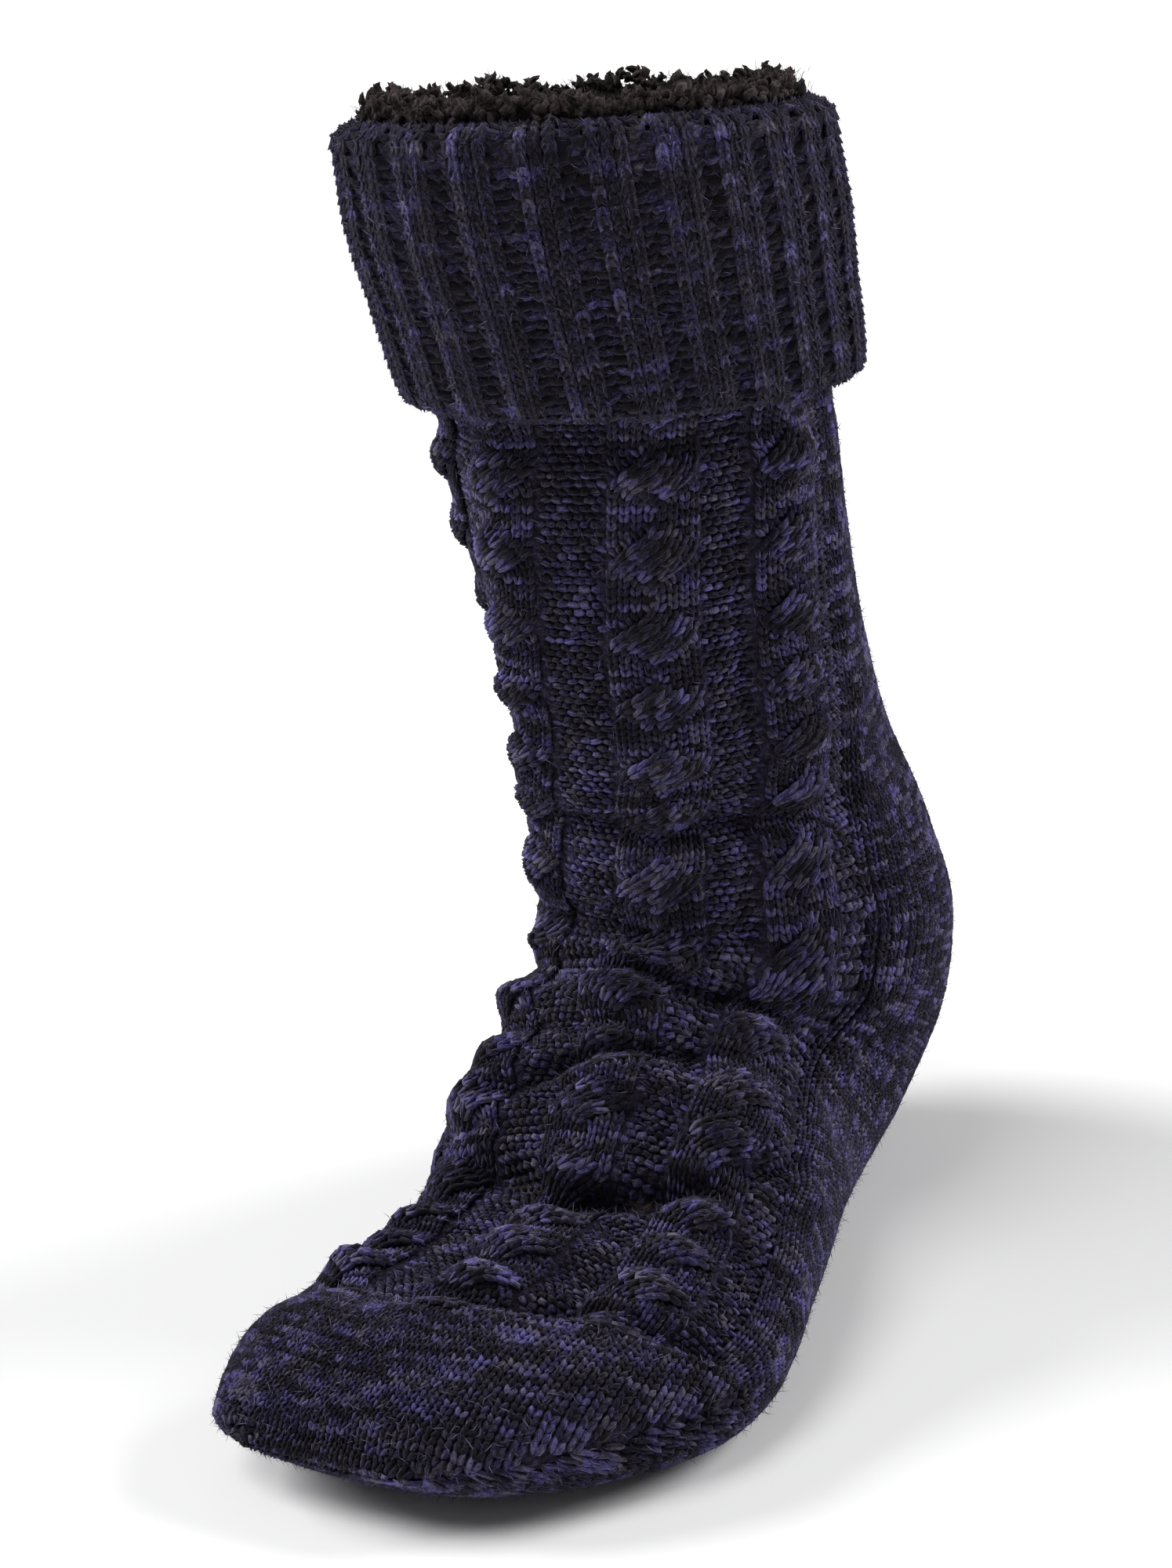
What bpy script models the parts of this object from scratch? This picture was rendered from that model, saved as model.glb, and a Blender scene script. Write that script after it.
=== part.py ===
"""A knitted slipper sock standing empty on its foot.

Metres, +Z up. The toe points towards -Y and the little-toe side towards +X.
The origin lies on the floor under the middle of the heel.
"""

import math
from collections import namedtuple

import bmesh
import bpy
import numpy as np

# Driving sizes
FOOT_LENGTH = 0.270
BALL_WIDTH = 0.122
INSTEP_HEIGHT = 0.094
HEEL_SEAT = 0.050
SHAFT_HEIGHT = 0.315
SHAFT_DEPTH = 0.122
SHAFT_WIDTH = 0.104
KNIT_WALL = 0.003
CLEARANCE = 0.0003

# Knitting of the leg and instep, counted in wales around and courses down
WALES = 100
CABLE_RISE = 0.0030
PURL_SINK = 0.0006

# Turned-down cuff
CUFF_DROP = 0.070
CUFF_THICKNESS = 0.0042
CUFF_STAND_OFF = 0.0040
CUFF_RIBS = 25
RIB_RISE = 0.0015
WELT = 0.007
FOLD_RISE = 0.0055
FOLD_LIP = 0.008
RIM_SEAT = 0.0013
CUFF_SWELL = 0.0015

# Pile lining that shows at the collar
PILE_THICKNESS = 0.0045
PILE_DROP = 0.040
PILE_RISE = 0.0025
LOCKS = 34
LOCK_LENGTH = 0.0070
LOCK_RADIUS = 0.0030
LOCK_TIP = 0.45
LOCK_SIDES = 6

# How finely the round forms are cut into flats
ROWS_PER_TWIST = 3
ROW_GAP = 0.009
COLUMNS_PER_RIB = 4
BACK_COLUMNS = 8
CABLE_FLATS = [0.0, 0.25, 0.75, 1.0]

# Cross-sections of the sock, from the collar down the leg, round the heel and out to the toe.
# Shares forward of the heel are of FOOT_LENGTH, and heights of SHAFT_HEIGHT on the leg and of
# INSTEP_HEIGHT on the foot. depth is a share of SHAFT_DEPTH, and half and sway are shares of
# half of SHAFT_WIDTH or BALL_WIDTH, sway towards the little toe. back_drop is how much lower
# the back of the leg lies than its front, and flat squares the sole.
LegSection = namedtuple("LegSection", "height back_drop centre_y depth half sway")
LEG_SECTIONS = [
    LegSection(1.000, 0.018, 0.330, 1.03, 1.07, -0.24),
    LegSection(0.930, 0.016, 0.316, 1.01, 1.06, -0.23),
    LegSection(0.773, 0.012, 0.270, 0.95, 0.99, -0.21),
    LegSection(0.650, 0.006, 0.257, 0.98, 0.93, -0.15),
    LegSection(0.520, 0.000, 0.241, 1.03, 0.87, -0.06),
    LegSection(0.420, 0.000, 0.223, 1.12, 0.88, 0.00),
]
FootSection = namedtuple("FootSection", "top_y top_z sole_y sole_z half sway flat")
FOOT_SECTIONS = [
    FootSection(0.466, 1.200, -0.060, 1.070, 0.84, 0.06, 0.00),
    FootSection(0.461, 1.105, -0.078, 0.715, 0.88, 0.09, 0.05),
    FootSection(0.465, 1.047, -0.040, 0.355, 0.84, 0.09, 0.15),
    FootSection(0.480, 1.005, 0.050, 0.070, 0.76, 0.04, 0.30),
    FootSection(0.500, 0.965, 0.174, -0.012, 0.75, 0.03, 0.40),
    FootSection(0.530, 0.905, 0.313, 0.015, 0.81, 0.09, 0.35),
    FootSection(0.573, 0.765, 0.460, 0.018, 0.89, 0.14, 0.35),
    FootSection(0.625, 0.615, 0.587, 0.005, 0.94, 0.17, 0.40),
    FootSection(0.690, 0.485, 0.685, -0.012, 0.99, 0.17, 0.45),
    FootSection(0.768, 0.435, 0.768, -0.012, 1.00, 0.10, 0.42),
    FootSection(0.840, 0.440, 0.842, 0.008, 0.95, -0.04, 0.40),
    FootSection(0.895, 0.385, 0.900, 0.036, 0.82, -0.13, 0.26),
    FootSection(0.935, 0.325, 0.939, 0.075, 0.69, -0.19, 0.12),
    FootSection(0.959, 0.270, 0.961, 0.120, 0.57, -0.24, 0.00),
    FootSection(0.969, 0.220, 0.969, 0.150, 0.46, -0.25, 0.00),
]
# Soft folds where the slack leg settles on the instep. down is a share of the way from collar
# to toe, rise and length are shares of SHAFT_DEPTH, turn and reach are shares of the way round,
# and slant is how far the fold drops, in shares of the whole way down, per share of a turn.
Fold = namedtuple("Fold", "down rise length turn reach slant")
FOLDS = [
    Fold(0.330, 0.010, 0.20, -0.10, 0.24, 0.05),
    Fold(0.405, 0.015, 0.20, -0.10, 0.26, 0.06),
    Fold(0.480, 0.018, 0.21, -0.10, 0.27, -0.04),
    Fold(0.550, 0.026, 0.21, -0.04, 0.30, 0.03),
    Fold(0.620, 0.036, 0.22, -0.02, 0.31, -0.03),
    Fold(0.690, 0.034, 0.21, 0.02, 0.29, 0.04),
    Fold(0.755, 0.022, 0.19, 0.09, 0.26, 0.05),
    Fold(0.705, 0.038, 0.22, -0.17, 0.14, 0.00),
    Fold(0.785, -0.034, 0.21, -0.16, 0.14, 0.00),
    Fold(0.865, 0.018, 0.16, -0.16, 0.12, 0.00),
]
CREASE_SHARE = 0.35

# How far down the sock the cables twist, counted from the first twist below the cuff, as shares
# of the way from collar to toe. Slack knitting crowds at the ankle.
TwistMark = namedtuple("TwistMark", "twist down")
TWIST_MARKS = [
    TwistMark(-2, 0.105),
    TwistMark(0, 0.202),
    TwistMark(1, 0.251),
    TwistMark(2, 0.300),
    TwistMark(3, 0.342),
    TwistMark(4, 0.384),
    TwistMark(5, 0.419),
    TwistMark(6, 0.461),
    TwistMark(7, 0.530),
    TwistMark(8, 0.621),
    TwistMark(9, 0.675),
    TwistMark(10, 0.719),
    TwistMark(11, 0.775),
    TwistMark(12, 0.807),
    TwistMark(13, 0.840),
    TwistMark(14, 0.872),
    TwistMark(17, 1.000),
]
# The cable panel swings round towards the big toe on its way down. down is a share of the way
# from collar to toe, and middle and half, half its width, are shares of the way round.
PanelLine = namedtuple("PanelLine", "down middle half")
PANEL_LINES = [
    PanelLine(0.00, 0.035, 0.255),
    PanelLine(0.13, 0.035, 0.255),
    PanelLine(0.20, 0.022, 0.256),
    PanelLine(0.31, -0.003, 0.264),
    PanelLine(0.39, -0.014, 0.258),
    PanelLine(0.48, -0.030, 0.225),
    PanelLine(0.63, -0.043, 0.235),
    PanelLine(0.72, -0.072, 0.260),
    PanelLine(0.80, -0.085, 0.280),
    PanelLine(1.00, -0.080, 0.285),
]

# Columns of knitting on one side of the sock, in wales from the middle of the front
PURL_MIDDLE = 3
CABLE_WALES = 8
PURL_BETWEEN = 5
PURL_SIDE = 4
CABLE_STARTS = [PURL_MIDDLE, PURL_MIDDLE + CABLE_WALES + PURL_BETWEEN]
PANEL_WALES = CABLE_STARTS[-1] + CABLE_WALES + PURL_SIDE
CABLE_CENTRES = [start + CABLE_WALES / 2 for start in CABLE_STARTS]
FRONT_WEIGHT = 0.75
TOE_CAP_SHARE = 0.88


def sections_in_metres():
    """Each section's front and sole point, half width, sway and flatness, in metres."""
    rows = []
    for row in LEG_SECTIONS:
        middle = row.centre_y * FOOT_LENGTH
        reach = row.depth * SHAFT_DEPTH / 2
        height = row.height * SHAFT_HEIGHT
        low = height - row.back_drop * SHAFT_HEIGHT
        half = row.half * SHAFT_WIDTH / 2
        sway = row.sway * SHAFT_WIDTH / 2
        rows.append((middle + reach, height, middle - reach, low, half, sway, 0.0))
    for row in FOOT_SECTIONS:
        top = (row.top_y * FOOT_LENGTH, row.top_z * INSTEP_HEIGHT)
        sole = (row.sole_y * FOOT_LENGTH, row.sole_z * INSTEP_HEIGHT)
        half = row.half * BALL_WIDTH / 2
        sway = row.sway * BALL_WIDTH / 2
        rows.append((*top, *sole, half, sway, row.flat))
    return np.array(rows)


SECTIONS = sections_in_metres()


def path_knots():
    """How far down the sock each section lies, measured mostly along its front."""
    front = np.linalg.norm(np.diff(SECTIONS[:, 0:2], axis=0), axis=1)
    back = np.linalg.norm(np.diff(SECTIONS[:, 2:4], axis=0), axis=1)
    steps = FRONT_WEIGHT * front + (1 - FRONT_WEIGHT) * back
    return np.concatenate([[0.0], np.cumsum(steps)])


KNOTS = path_knots()
PATH_LENGTH = KNOTS[-1]


def smooth_through(at):
    """The section's values at each distance down the sock, on curves through the table's rows."""
    slopes = np.gradient(SECTIONS, KNOTS, axis=0)
    at = np.clip(at, 0.0, PATH_LENGTH)
    left = np.clip(np.searchsorted(KNOTS, at, side="right") - 1, 0, len(KNOTS) - 2)
    span = KNOTS[left + 1] - KNOTS[left]
    x = ((at - KNOTS[left]) / span)[:, None]
    span = span[:, None]
    start = SECTIONS[left] * (1 + 2 * x) * (1 - x) ** 2
    end = SECTIONS[left + 1] * (3 - 2 * x) * x**2
    rise = slopes[left] * span * x * (1 - x) ** 2
    fall = slopes[left + 1] * span * x**2 * (x - 1)
    return start + end + rise + fall


def bump(x):
    """A soft hump, 1 at 0 and 0 from 1 outwards."""
    return np.cos(np.clip(np.abs(x), 0.0, 1.0) * math.pi / 2) ** 2


def fold_relief(down, turn):
    """How far the slack knit stands out in folds and sinks between them."""
    relief = np.zeros(np.broadcast(down, turn).shape)
    for fold in FOLDS:
        length = fold.length * SHAFT_DEPTH / 2
        middle = fold.down * PATH_LENGTH + fold.slant * PATH_LENGTH * (turn - fold.turn)
        around = bump((turn - fold.turn) / fold.reach)
        crest = bump((down - middle) / length)
        crease = bump((down - middle - length) / (length * CREASE_SHARE))
        relief += fold.rise * SHAFT_DEPTH * around * (crest - CREASE_SHARE * crease)
    return relief


def panel_line(down):
    """Middle and half width of the cable panel at each distance down, as shares round."""
    lines = np.array(PANEL_LINES)
    share = np.asarray(down) / PATH_LENGTH
    return np.interp(share, lines[:, 0], lines[:, 1]), np.interp(share, lines[:, 0], lines[:, 2])


def cable_relief(down, turn):
    """The rope cables of the front panel, and the sunk columns between them."""
    marks = np.array(TWIST_MARKS)
    twists = np.interp(down / PATH_LENGTH, marks[:, 1], marks[:, 0])
    begin = np.interp(CUFF_DROP / PATH_LENGTH, marks[:, 1], marks[:, 0])
    end = np.interp(TOE_CAP_SHARE, marks[:, 1], marks[:, 0])
    shown = np.clip(2 * (twists - begin) + 1, 0.0, 1.0) * np.clip(end - twists, 0.0, 1.0)
    middle, half = panel_line(down)
    wale = turn_of(np.mod(turn - middle, 1.0)) / half * PANEL_WALES
    panel = np.where(np.abs(wale) < PANEL_WALES, -PURL_SINK, 0.0)
    rope = np.zeros(np.broadcast(down, turn).shape)
    for centre in CABLE_CENTRES:
        for side in (-1, 1):
            across = (wale - side * centre) / (CABLE_WALES / 2)
            phase = twists + 0.5 * np.clip(across, -1, 1)
            twist = 0.72 + 0.28 * np.cos(2 * math.pi * phase)
            rope = rope + CABLE_RISE * np.sqrt(np.clip(1 - across**2, 0.0, 1.0)) * twist
    return shown * np.where(rope > 0, rope, panel)


def outline(down, count=144):
    """Closed rings of points round the sock at each distance down, with no relief."""
    front_y, front_z, sole_y, sole_z, half, sway, flat = smooth_through(down).T[:, :, None]
    angle = np.linspace(-math.pi, math.pi, count + 1)[None, :]
    along = np.cos(angle)
    across = np.sin(angle)
    squared = np.abs(across) ** (1 - flat * (along < 0)) * np.sign(across)
    reach = np.where(along < 0, -np.abs(along) ** (1 - 0.8 * flat), along)
    middle_y = (front_y + sole_y) / 2
    middle_z = (front_z + sole_z) / 2
    y = middle_y + reach * (front_y - sole_y) / 2
    z = middle_z + reach * (front_z - sole_z) / 2
    x = sway + squared * half
    return np.stack([x, HEEL_SEAT - y, z], axis=-1)


def skin(down, turn, lift=0.0, relief=True):
    """Points of the sock's outer face at each distance down (rows) and share round (columns).

    turn runs from -0.5 to 0.5, with 0 at the middle of the front and the little-toe side
    positive. It holds one row for all distances, or one for each. lift moves the points
    outwards, and relief adds folds and cables.
    """
    down = np.asarray(down, float)
    turn = np.broadcast_to(np.asarray(turn, float), (len(down), np.shape(turn)[-1]))
    base = on_ring(outline(down), turn)
    step = 1e-4
    later = on_ring(outline(down + step), turn) - on_ring(outline(down - step), turn)
    beside = on_ring(outline(down), turn + step) - on_ring(outline(down), turn - step)
    normal = np.cross(later, beside)
    normal /= np.linalg.norm(normal, axis=-1, keepdims=True)
    out = np.full(base.shape[:2], lift)
    if relief:
        out = out + fold_relief(down[:, None], turn) + cable_relief(down[:, None], turn)
    return base + out[..., None] * normal


def on_ring(rings, turn):
    """The points at each share of the length round every ring."""
    lengths = np.linalg.norm(np.diff(rings, axis=1), axis=2)
    run = np.concatenate([np.zeros((len(rings), 1)), np.cumsum(lengths, axis=1)], axis=1)
    points = np.empty((*turn.shape, 3))
    shares = np.mod(turn + 0.5, 1.0)
    for i, ring in enumerate(rings):
        middle = np.interp(0.0, np.linspace(-0.5, 0.5, ring.shape[0]), run[i])
        far = middle + (shares[i] * 2 - 1) * (run[i, -1] - middle)
        at = np.where(shares[i] < 0.5, shares[i] * 2 * middle, far)
        for axis in range(3):
            points[i, :, axis] = np.interp(at, run[i], ring[:, axis])
    return points


def mesh_object(name, points, faces, colour, roughness, collection):
    """A named object with its own plain material."""
    mesh = bpy.data.meshes.new(name)
    mesh.from_pydata([tuple(p) for p in points], [], faces)
    mesh.validate()
    mesh.shade_smooth()
    part = bpy.data.objects.new(name, mesh)
    collection.objects.link(part)
    material = bpy.data.materials.new(name)
    material.use_nodes = True
    shader = material.node_tree.nodes["Principled BSDF"]
    shader.inputs["Base Color"].default_value = (*colour, 1.0)
    shader.inputs["Roughness"].default_value = roughness
    shader.inputs["Metallic"].default_value = 0.0
    part.data.materials.append(material)
    return part


def grid_faces(rows, columns, closed_rows=False):
    """Quads between rows of points that close round, and from the last row to the first."""
    faces = []
    for i in range(rows if closed_rows else rows - 1):
        j = (i + 1) % rows
        for k in range(columns):
            n = (k + 1) % columns
            faces.append((i * columns + k, j * columns + k, j * columns + n, i * columns + n))
    return faces


def knit_columns(down):
    """Shares round the sock, row by row: close together over the cables, wide apart behind."""
    wales = [0.0]
    for start in CABLE_STARTS:
        wales += [start + CABLE_WALES * share for share in CABLE_FLATS]
        wales.append(start + CABLE_WALES + PURL_BETWEEN / 2)
    wales[-1] = PANEL_WALES
    front = np.array([-w for w in wales[:0:-1]] + wales) / PANEL_WALES
    middle, half = panel_line(down)
    panel = middle[:, None] + half[:, None] * front
    behind = np.linspace(0.0, 1.0, BACK_COLUMNS + 1)[1:-1]
    back = panel[:, -1:] + (1.0 + panel[:, :1] - panel[:, -1:]) * behind
    return turn_of(np.mod(np.concatenate([panel, back], axis=1), 1.0))


def turn_of(share):
    """The same places written as -0.5 to 0.5 from the middle of the front."""
    return np.where(share > 0.5, share - 1.0, share)


def knit_rows():
    """Distances down: far apart under the cuff, then a few for each twist of a cable."""
    under_cuff = np.linspace(0.0, CUFF_DROP, 4)[:-1]
    marks = np.array(TWIST_MARKS)
    first = np.interp(CUFF_DROP / PATH_LENGTH, marks[:, 1], marks[:, 0])
    count = math.ceil((marks[-1, 0] - first) * ROWS_PER_TWIST)
    twists = np.linspace(first, marks[-1, 0], count + 1)
    rows = np.interp(twists, marks[:, 0], marks[:, 1]) * PATH_LENGTH
    wide = np.diff(rows) > ROW_GAP
    between = (rows[:-1] + rows[1:])[wide] / 2
    return np.concatenate([under_cuff, np.sort(np.concatenate([rows, between]))])


def make_upper(collection):
    """Leg, heel, foot and toe: one knitted tube, closed at the toe and open at the collar."""
    rows = knit_rows()
    columns = knit_columns(rows)
    points = skin(rows, columns)
    points[..., 2] = np.maximum(points[..., 2], 0.0)
    count = columns.shape[1]
    faces = grid_faces(len(rows), count)
    toe = (len(rows) - 1) * count
    faces.append(tuple(toe + k for k in reversed(range(count))))
    upper = mesh_object("upper", points.reshape(-1, 3), faces, (0.020, 0.017, 0.035), 0.95, collection)
    wall = upper.modifiers.new("Knit wall", "SOLIDIFY")
    wall.thickness = KNIT_WALL
    wall.offset = -1.0
    return upper


def rib_relief(turn):
    """Ribs of the cuff: two raised wales, then two sunk ones."""
    wave = np.cos(turn * CUFF_RIBS * 2 * math.pi)
    return RIB_RISE * np.clip(1.4 * wave, -1.0, 1.0)


def level_ring(down, turn, lift, up=0.0):
    """A ring round the shaft, pushed outwards on the level by lift and raised by up."""
    ring = skin([down], turn, relief=False)[0]
    out = skin([down], turn, lift=1.0, relief=False)[0] - ring
    out[:, 2] = 0.0
    out /= np.linalg.norm(out, axis=1, keepdims=True)
    ring = ring + out * np.broadcast_to(lift, len(turn))[:, None]
    ring[:, 2] += up
    return ring


def make_cuff(collection):
    """The ribbed top of the leg, folded outwards over the rim and hanging round the shaft."""
    count = CUFF_RIBS * COLUMNS_PER_RIB
    turn = turn_of((np.arange(count) + 0.5) / count)
    ribs = rib_relief(turn)
    rings = []

    def leaf_lift(down):
        return CLEARANCE * 2 + CUFF_STAND_OFF * math.sin(down / CUFF_DROP * math.pi / 2)

    def add(down, lift, up=0.0, rib=0.0):
        rings.append(level_ring(down, turn, lift + rib * ribs, up))

    full = CUFF_THICKNESS + CLEARANCE
    top_lift = full + FOLD_RISE * 0.35
    for down, rib in ((1.0, 0.2), (1 - WELT / CUFF_DROP, 1.0), (0.6, 1.0), (0.3, 1.0), (0.08, 1.0)):
        lift = leaf_lift(down * CUFF_DROP) + CUFF_THICKNESS + (CUFF_SWELL if down < 0.5 else 0.0)
        add(down * CUFF_DROP, lift, rib=rib)
    add(0.0, top_lift * 0.85, FOLD_RISE * 0.55, 0.8)
    add(0.0, top_lift * 0.35, FOLD_RISE * 0.95, 0.5)
    add(0.0, -KNIT_WALL * 0.5, FOLD_RISE, 0.2)
    add(0.0, -KNIT_WALL - CLEARANCE, FOLD_RISE * 0.6)
    add(0.0, -KNIT_WALL - CLEARANCE, RIM_SEAT)
    add(0.0, CLEARANCE * 2, RIM_SEAT)
    for down in (FOLD_LIP, CUFF_DROP * 0.3, CUFF_DROP * 0.6, CUFF_DROP):
        add(down, leaf_lift(down))
    points = np.concatenate(rings)
    faces = [f[::-1] for f in grid_faces(len(rings), count, closed_rows=True)]
    return mesh_object("cuff", points, faces, (0.024, 0.021, 0.045), 0.95, collection)


def make_lining(collection, cutters):
    """The deep pile at the collar, a band inside the shaft whose locks stand above the fold."""
    turn = knit_columns(np.array([0.0]))[0]
    count = len(turn)
    face = -(KNIT_WALL + 2 * CLEARANCE)
    rings = []
    for down, lift, up in (
        (PILE_DROP, face, 0.0),
        (PILE_DROP / 2, face, 0.0),
        (0.0, face, FOLD_RISE * 0.4),
        (0.0, face - PILE_THICKNESS * 0.2, FOLD_RISE + PILE_RISE * 0.7),
        (0.0, face - PILE_THICKNESS * 0.6, FOLD_RISE + PILE_RISE),
        (0.0, face - PILE_THICKNESS, FOLD_RISE + PILE_RISE * 0.4),
        (PILE_DROP / 2, face - PILE_THICKNESS, 0.0),
        (PILE_DROP, face - PILE_THICKNESS * 0.8, 0.0),
    ):
        rings.append(level_ring(down, turn, lift, up))
    faces = grid_faces(len(rings), count, closed_rows=True)
    lining = mesh_object("lining", np.concatenate(rings), faces, (0.022, 0.017, 0.014), 1.0, collection)
    locks = bmesh.new()
    rng = np.random.default_rng(7)
    for k in range(LOCKS):
        place = turn_of(np.array([(k + rng.uniform(-0.3, 0.3)) / LOCKS % 1.0]))
        root = level_ring(0.0, place, face - PILE_THICKNESS / 2, FOLD_RISE + PILE_RISE / 2)[0]
        out = level_ring(0.0, place, 1.0)[0] - level_ring(0.0, place, 0.0)[0]
        lean = rng.uniform(-0.5, 0.5)
        axis = np.array([0.0, 0.0, 1.0]) + lean * out + rng.normal(0, 0.2, 3) * (1, 1, 0)
        add_lock(locks, root, axis / np.linalg.norm(axis), LOCK_LENGTH * rng.uniform(0.6, 1.15))
    mesh = bpy.data.meshes.new("lining_locks")
    locks.to_mesh(mesh)
    locks.free()
    helper = bpy.data.objects.new("lining_locks", mesh)
    helper.hide_render = True
    helper.display_type = "WIRE"
    cutters.objects.link(helper)
    fuse = lining.modifiers.new("Fused locks", "BOOLEAN")
    fuse.operation = "UNION"
    fuse.object = helper
    fuse.solver = "EXACT"
    fuse.use_self = True
    return lining


def add_lock(locks, root, axis, length):
    """One tapered lock of pile, rooted inside the band and rising above the fold."""
    made = bmesh.ops.create_cone(
        locks,
        cap_ends=True,
        segments=LOCK_SIDES,
        radius1=LOCK_RADIUS,
        radius2=LOCK_RADIUS * LOCK_TIP,
        depth=length,
    )
    side = np.cross(axis, (0.0, 1.0, 0.0))
    side /= np.linalg.norm(side)
    ahead = np.cross(axis, side)
    for vertex in made["verts"]:
        x, y, z = vertex.co
        vertex.co = root + side * x + ahead * y + axis * (z + length / 2)


def main():
    for old in list(bpy.data.objects):
        bpy.data.objects.remove(old, do_unlink=True)
    parts = bpy.data.collections.new("slipper_sock")
    cutters = bpy.data.collections.new("cutters")
    bpy.context.scene.collection.children.link(parts)
    bpy.context.scene.collection.children.link(cutters)
    make_upper(parts)
    make_cuff(parts)
    make_lining(parts, cutters)


main()
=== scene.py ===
"""A knitted slipper sock, dressed stitch by stitch.

Metres, in the frame of the solids: the toe points towards -Y, +X is the little-toe side, +Z is up.
Knit surfaces are charted in courses, counted down the sock from the first cable twist under the
cuff, and wales, counted round from the middle of the cable panel towards the little toe.
"""

import math
from collections import namedtuple

import bpy
import numpy as np
from mathutils import Matrix, Vector


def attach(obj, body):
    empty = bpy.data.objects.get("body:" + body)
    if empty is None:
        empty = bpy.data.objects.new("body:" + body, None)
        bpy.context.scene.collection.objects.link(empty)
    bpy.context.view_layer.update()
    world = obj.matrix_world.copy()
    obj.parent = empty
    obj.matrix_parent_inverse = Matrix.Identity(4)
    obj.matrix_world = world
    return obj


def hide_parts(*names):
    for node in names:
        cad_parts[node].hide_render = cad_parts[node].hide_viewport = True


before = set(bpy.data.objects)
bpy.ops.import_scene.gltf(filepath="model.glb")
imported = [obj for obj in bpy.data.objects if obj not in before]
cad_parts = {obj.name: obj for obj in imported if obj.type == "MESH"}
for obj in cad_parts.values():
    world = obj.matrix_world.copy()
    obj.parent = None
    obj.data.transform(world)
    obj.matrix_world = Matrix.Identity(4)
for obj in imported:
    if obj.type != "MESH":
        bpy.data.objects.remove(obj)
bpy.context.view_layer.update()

# Sizes of the sock's solids
FOOT_LENGTH = 0.270
BALL_WIDTH = 0.122
INSTEP_HEIGHT = 0.094
HEEL_SEAT = 0.050
SHAFT_HEIGHT = 0.315
SHAFT_DEPTH = 0.122
SHAFT_WIDTH = 0.104
KNIT_WALL = 0.003
CUFF_DROP = 0.070
CUFF_THICKNESS = 0.0042
CUFF_STAND_OFF = 0.0040
FOLD_RISE = 0.0055
CLEARANCE = 0.0003
FRONT_WEIGHT = 0.75
CREASE_SHARE = 0.35

# Cross-sections of the sock, from the collar down the leg, round the heel and out to the toe.
# Shares forward of the heel are of FOOT_LENGTH, and heights of SHAFT_HEIGHT on the leg and of
# INSTEP_HEIGHT on the foot. depth is a share of SHAFT_DEPTH, and half and sway are shares of
# half of SHAFT_WIDTH or BALL_WIDTH, sway towards the little toe. back_drop is how much lower
# the back of the leg lies than its front, and flat squares the sole.
LegSection = namedtuple("LegSection", "height back_drop centre_y depth half sway")
LEG_SECTIONS = [
    LegSection(1.000, 0.018, 0.330, 1.03, 1.07, -0.24),
    LegSection(0.930, 0.016, 0.316, 1.01, 1.06, -0.23),
    LegSection(0.773, 0.012, 0.270, 0.95, 0.99, -0.21),
    LegSection(0.650, 0.006, 0.257, 0.98, 0.93, -0.15),
    LegSection(0.520, 0.000, 0.241, 1.03, 0.87, -0.06),
    LegSection(0.420, 0.000, 0.223, 1.12, 0.88, 0.00),
]
FootSection = namedtuple("FootSection", "top_y top_z sole_y sole_z half sway flat")
FOOT_SECTIONS = [
    FootSection(0.466, 1.200, -0.060, 1.070, 0.84, 0.06, 0.00),
    FootSection(0.461, 1.105, -0.078, 0.715, 0.88, 0.09, 0.05),
    FootSection(0.465, 1.047, -0.040, 0.355, 0.84, 0.09, 0.15),
    FootSection(0.480, 1.005, 0.050, 0.070, 0.76, 0.04, 0.30),
    FootSection(0.500, 0.965, 0.174, -0.012, 0.75, 0.03, 0.40),
    FootSection(0.530, 0.905, 0.313, 0.015, 0.81, 0.09, 0.35),
    FootSection(0.573, 0.765, 0.460, 0.018, 0.89, 0.14, 0.35),
    FootSection(0.625, 0.615, 0.587, 0.005, 0.94, 0.17, 0.40),
    FootSection(0.690, 0.485, 0.685, -0.012, 0.99, 0.17, 0.45),
    FootSection(0.768, 0.435, 0.768, -0.012, 1.00, 0.10, 0.42),
    FootSection(0.840, 0.440, 0.842, 0.008, 0.95, -0.04, 0.40),
    FootSection(0.895, 0.385, 0.900, 0.036, 0.82, -0.13, 0.26),
    FootSection(0.935, 0.325, 0.939, 0.075, 0.69, -0.19, 0.12),
    FootSection(0.959, 0.270, 0.961, 0.120, 0.57, -0.24, 0.00),
    FootSection(0.969, 0.220, 0.969, 0.150, 0.46, -0.25, 0.00),
]
# Soft folds where the slack leg settles on the instep. down is a share of the way from collar
# to toe, rise and length are shares of SHAFT_DEPTH, turn and reach are shares of the way round,
# and slant is how far the fold drops, in shares of the whole way down, per share of a turn.
Fold = namedtuple("Fold", "down rise length turn reach slant")
FOLDS = [
    Fold(0.330, 0.010, 0.20, -0.10, 0.24, 0.05),
    Fold(0.405, 0.015, 0.20, -0.10, 0.26, 0.06),
    Fold(0.480, 0.018, 0.21, -0.10, 0.27, -0.04),
    Fold(0.550, 0.026, 0.21, -0.04, 0.30, 0.03),
    Fold(0.620, 0.036, 0.22, -0.02, 0.31, -0.03),
    Fold(0.690, 0.034, 0.21, 0.02, 0.29, 0.04),
    Fold(0.755, 0.022, 0.19, 0.09, 0.26, 0.05),
    Fold(0.705, 0.038, 0.22, -0.17, 0.14, 0.00),
    Fold(0.785, -0.034, 0.21, -0.16, 0.14, 0.00),
    Fold(0.865, 0.018, 0.16, -0.16, 0.12, 0.00),
]


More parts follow.
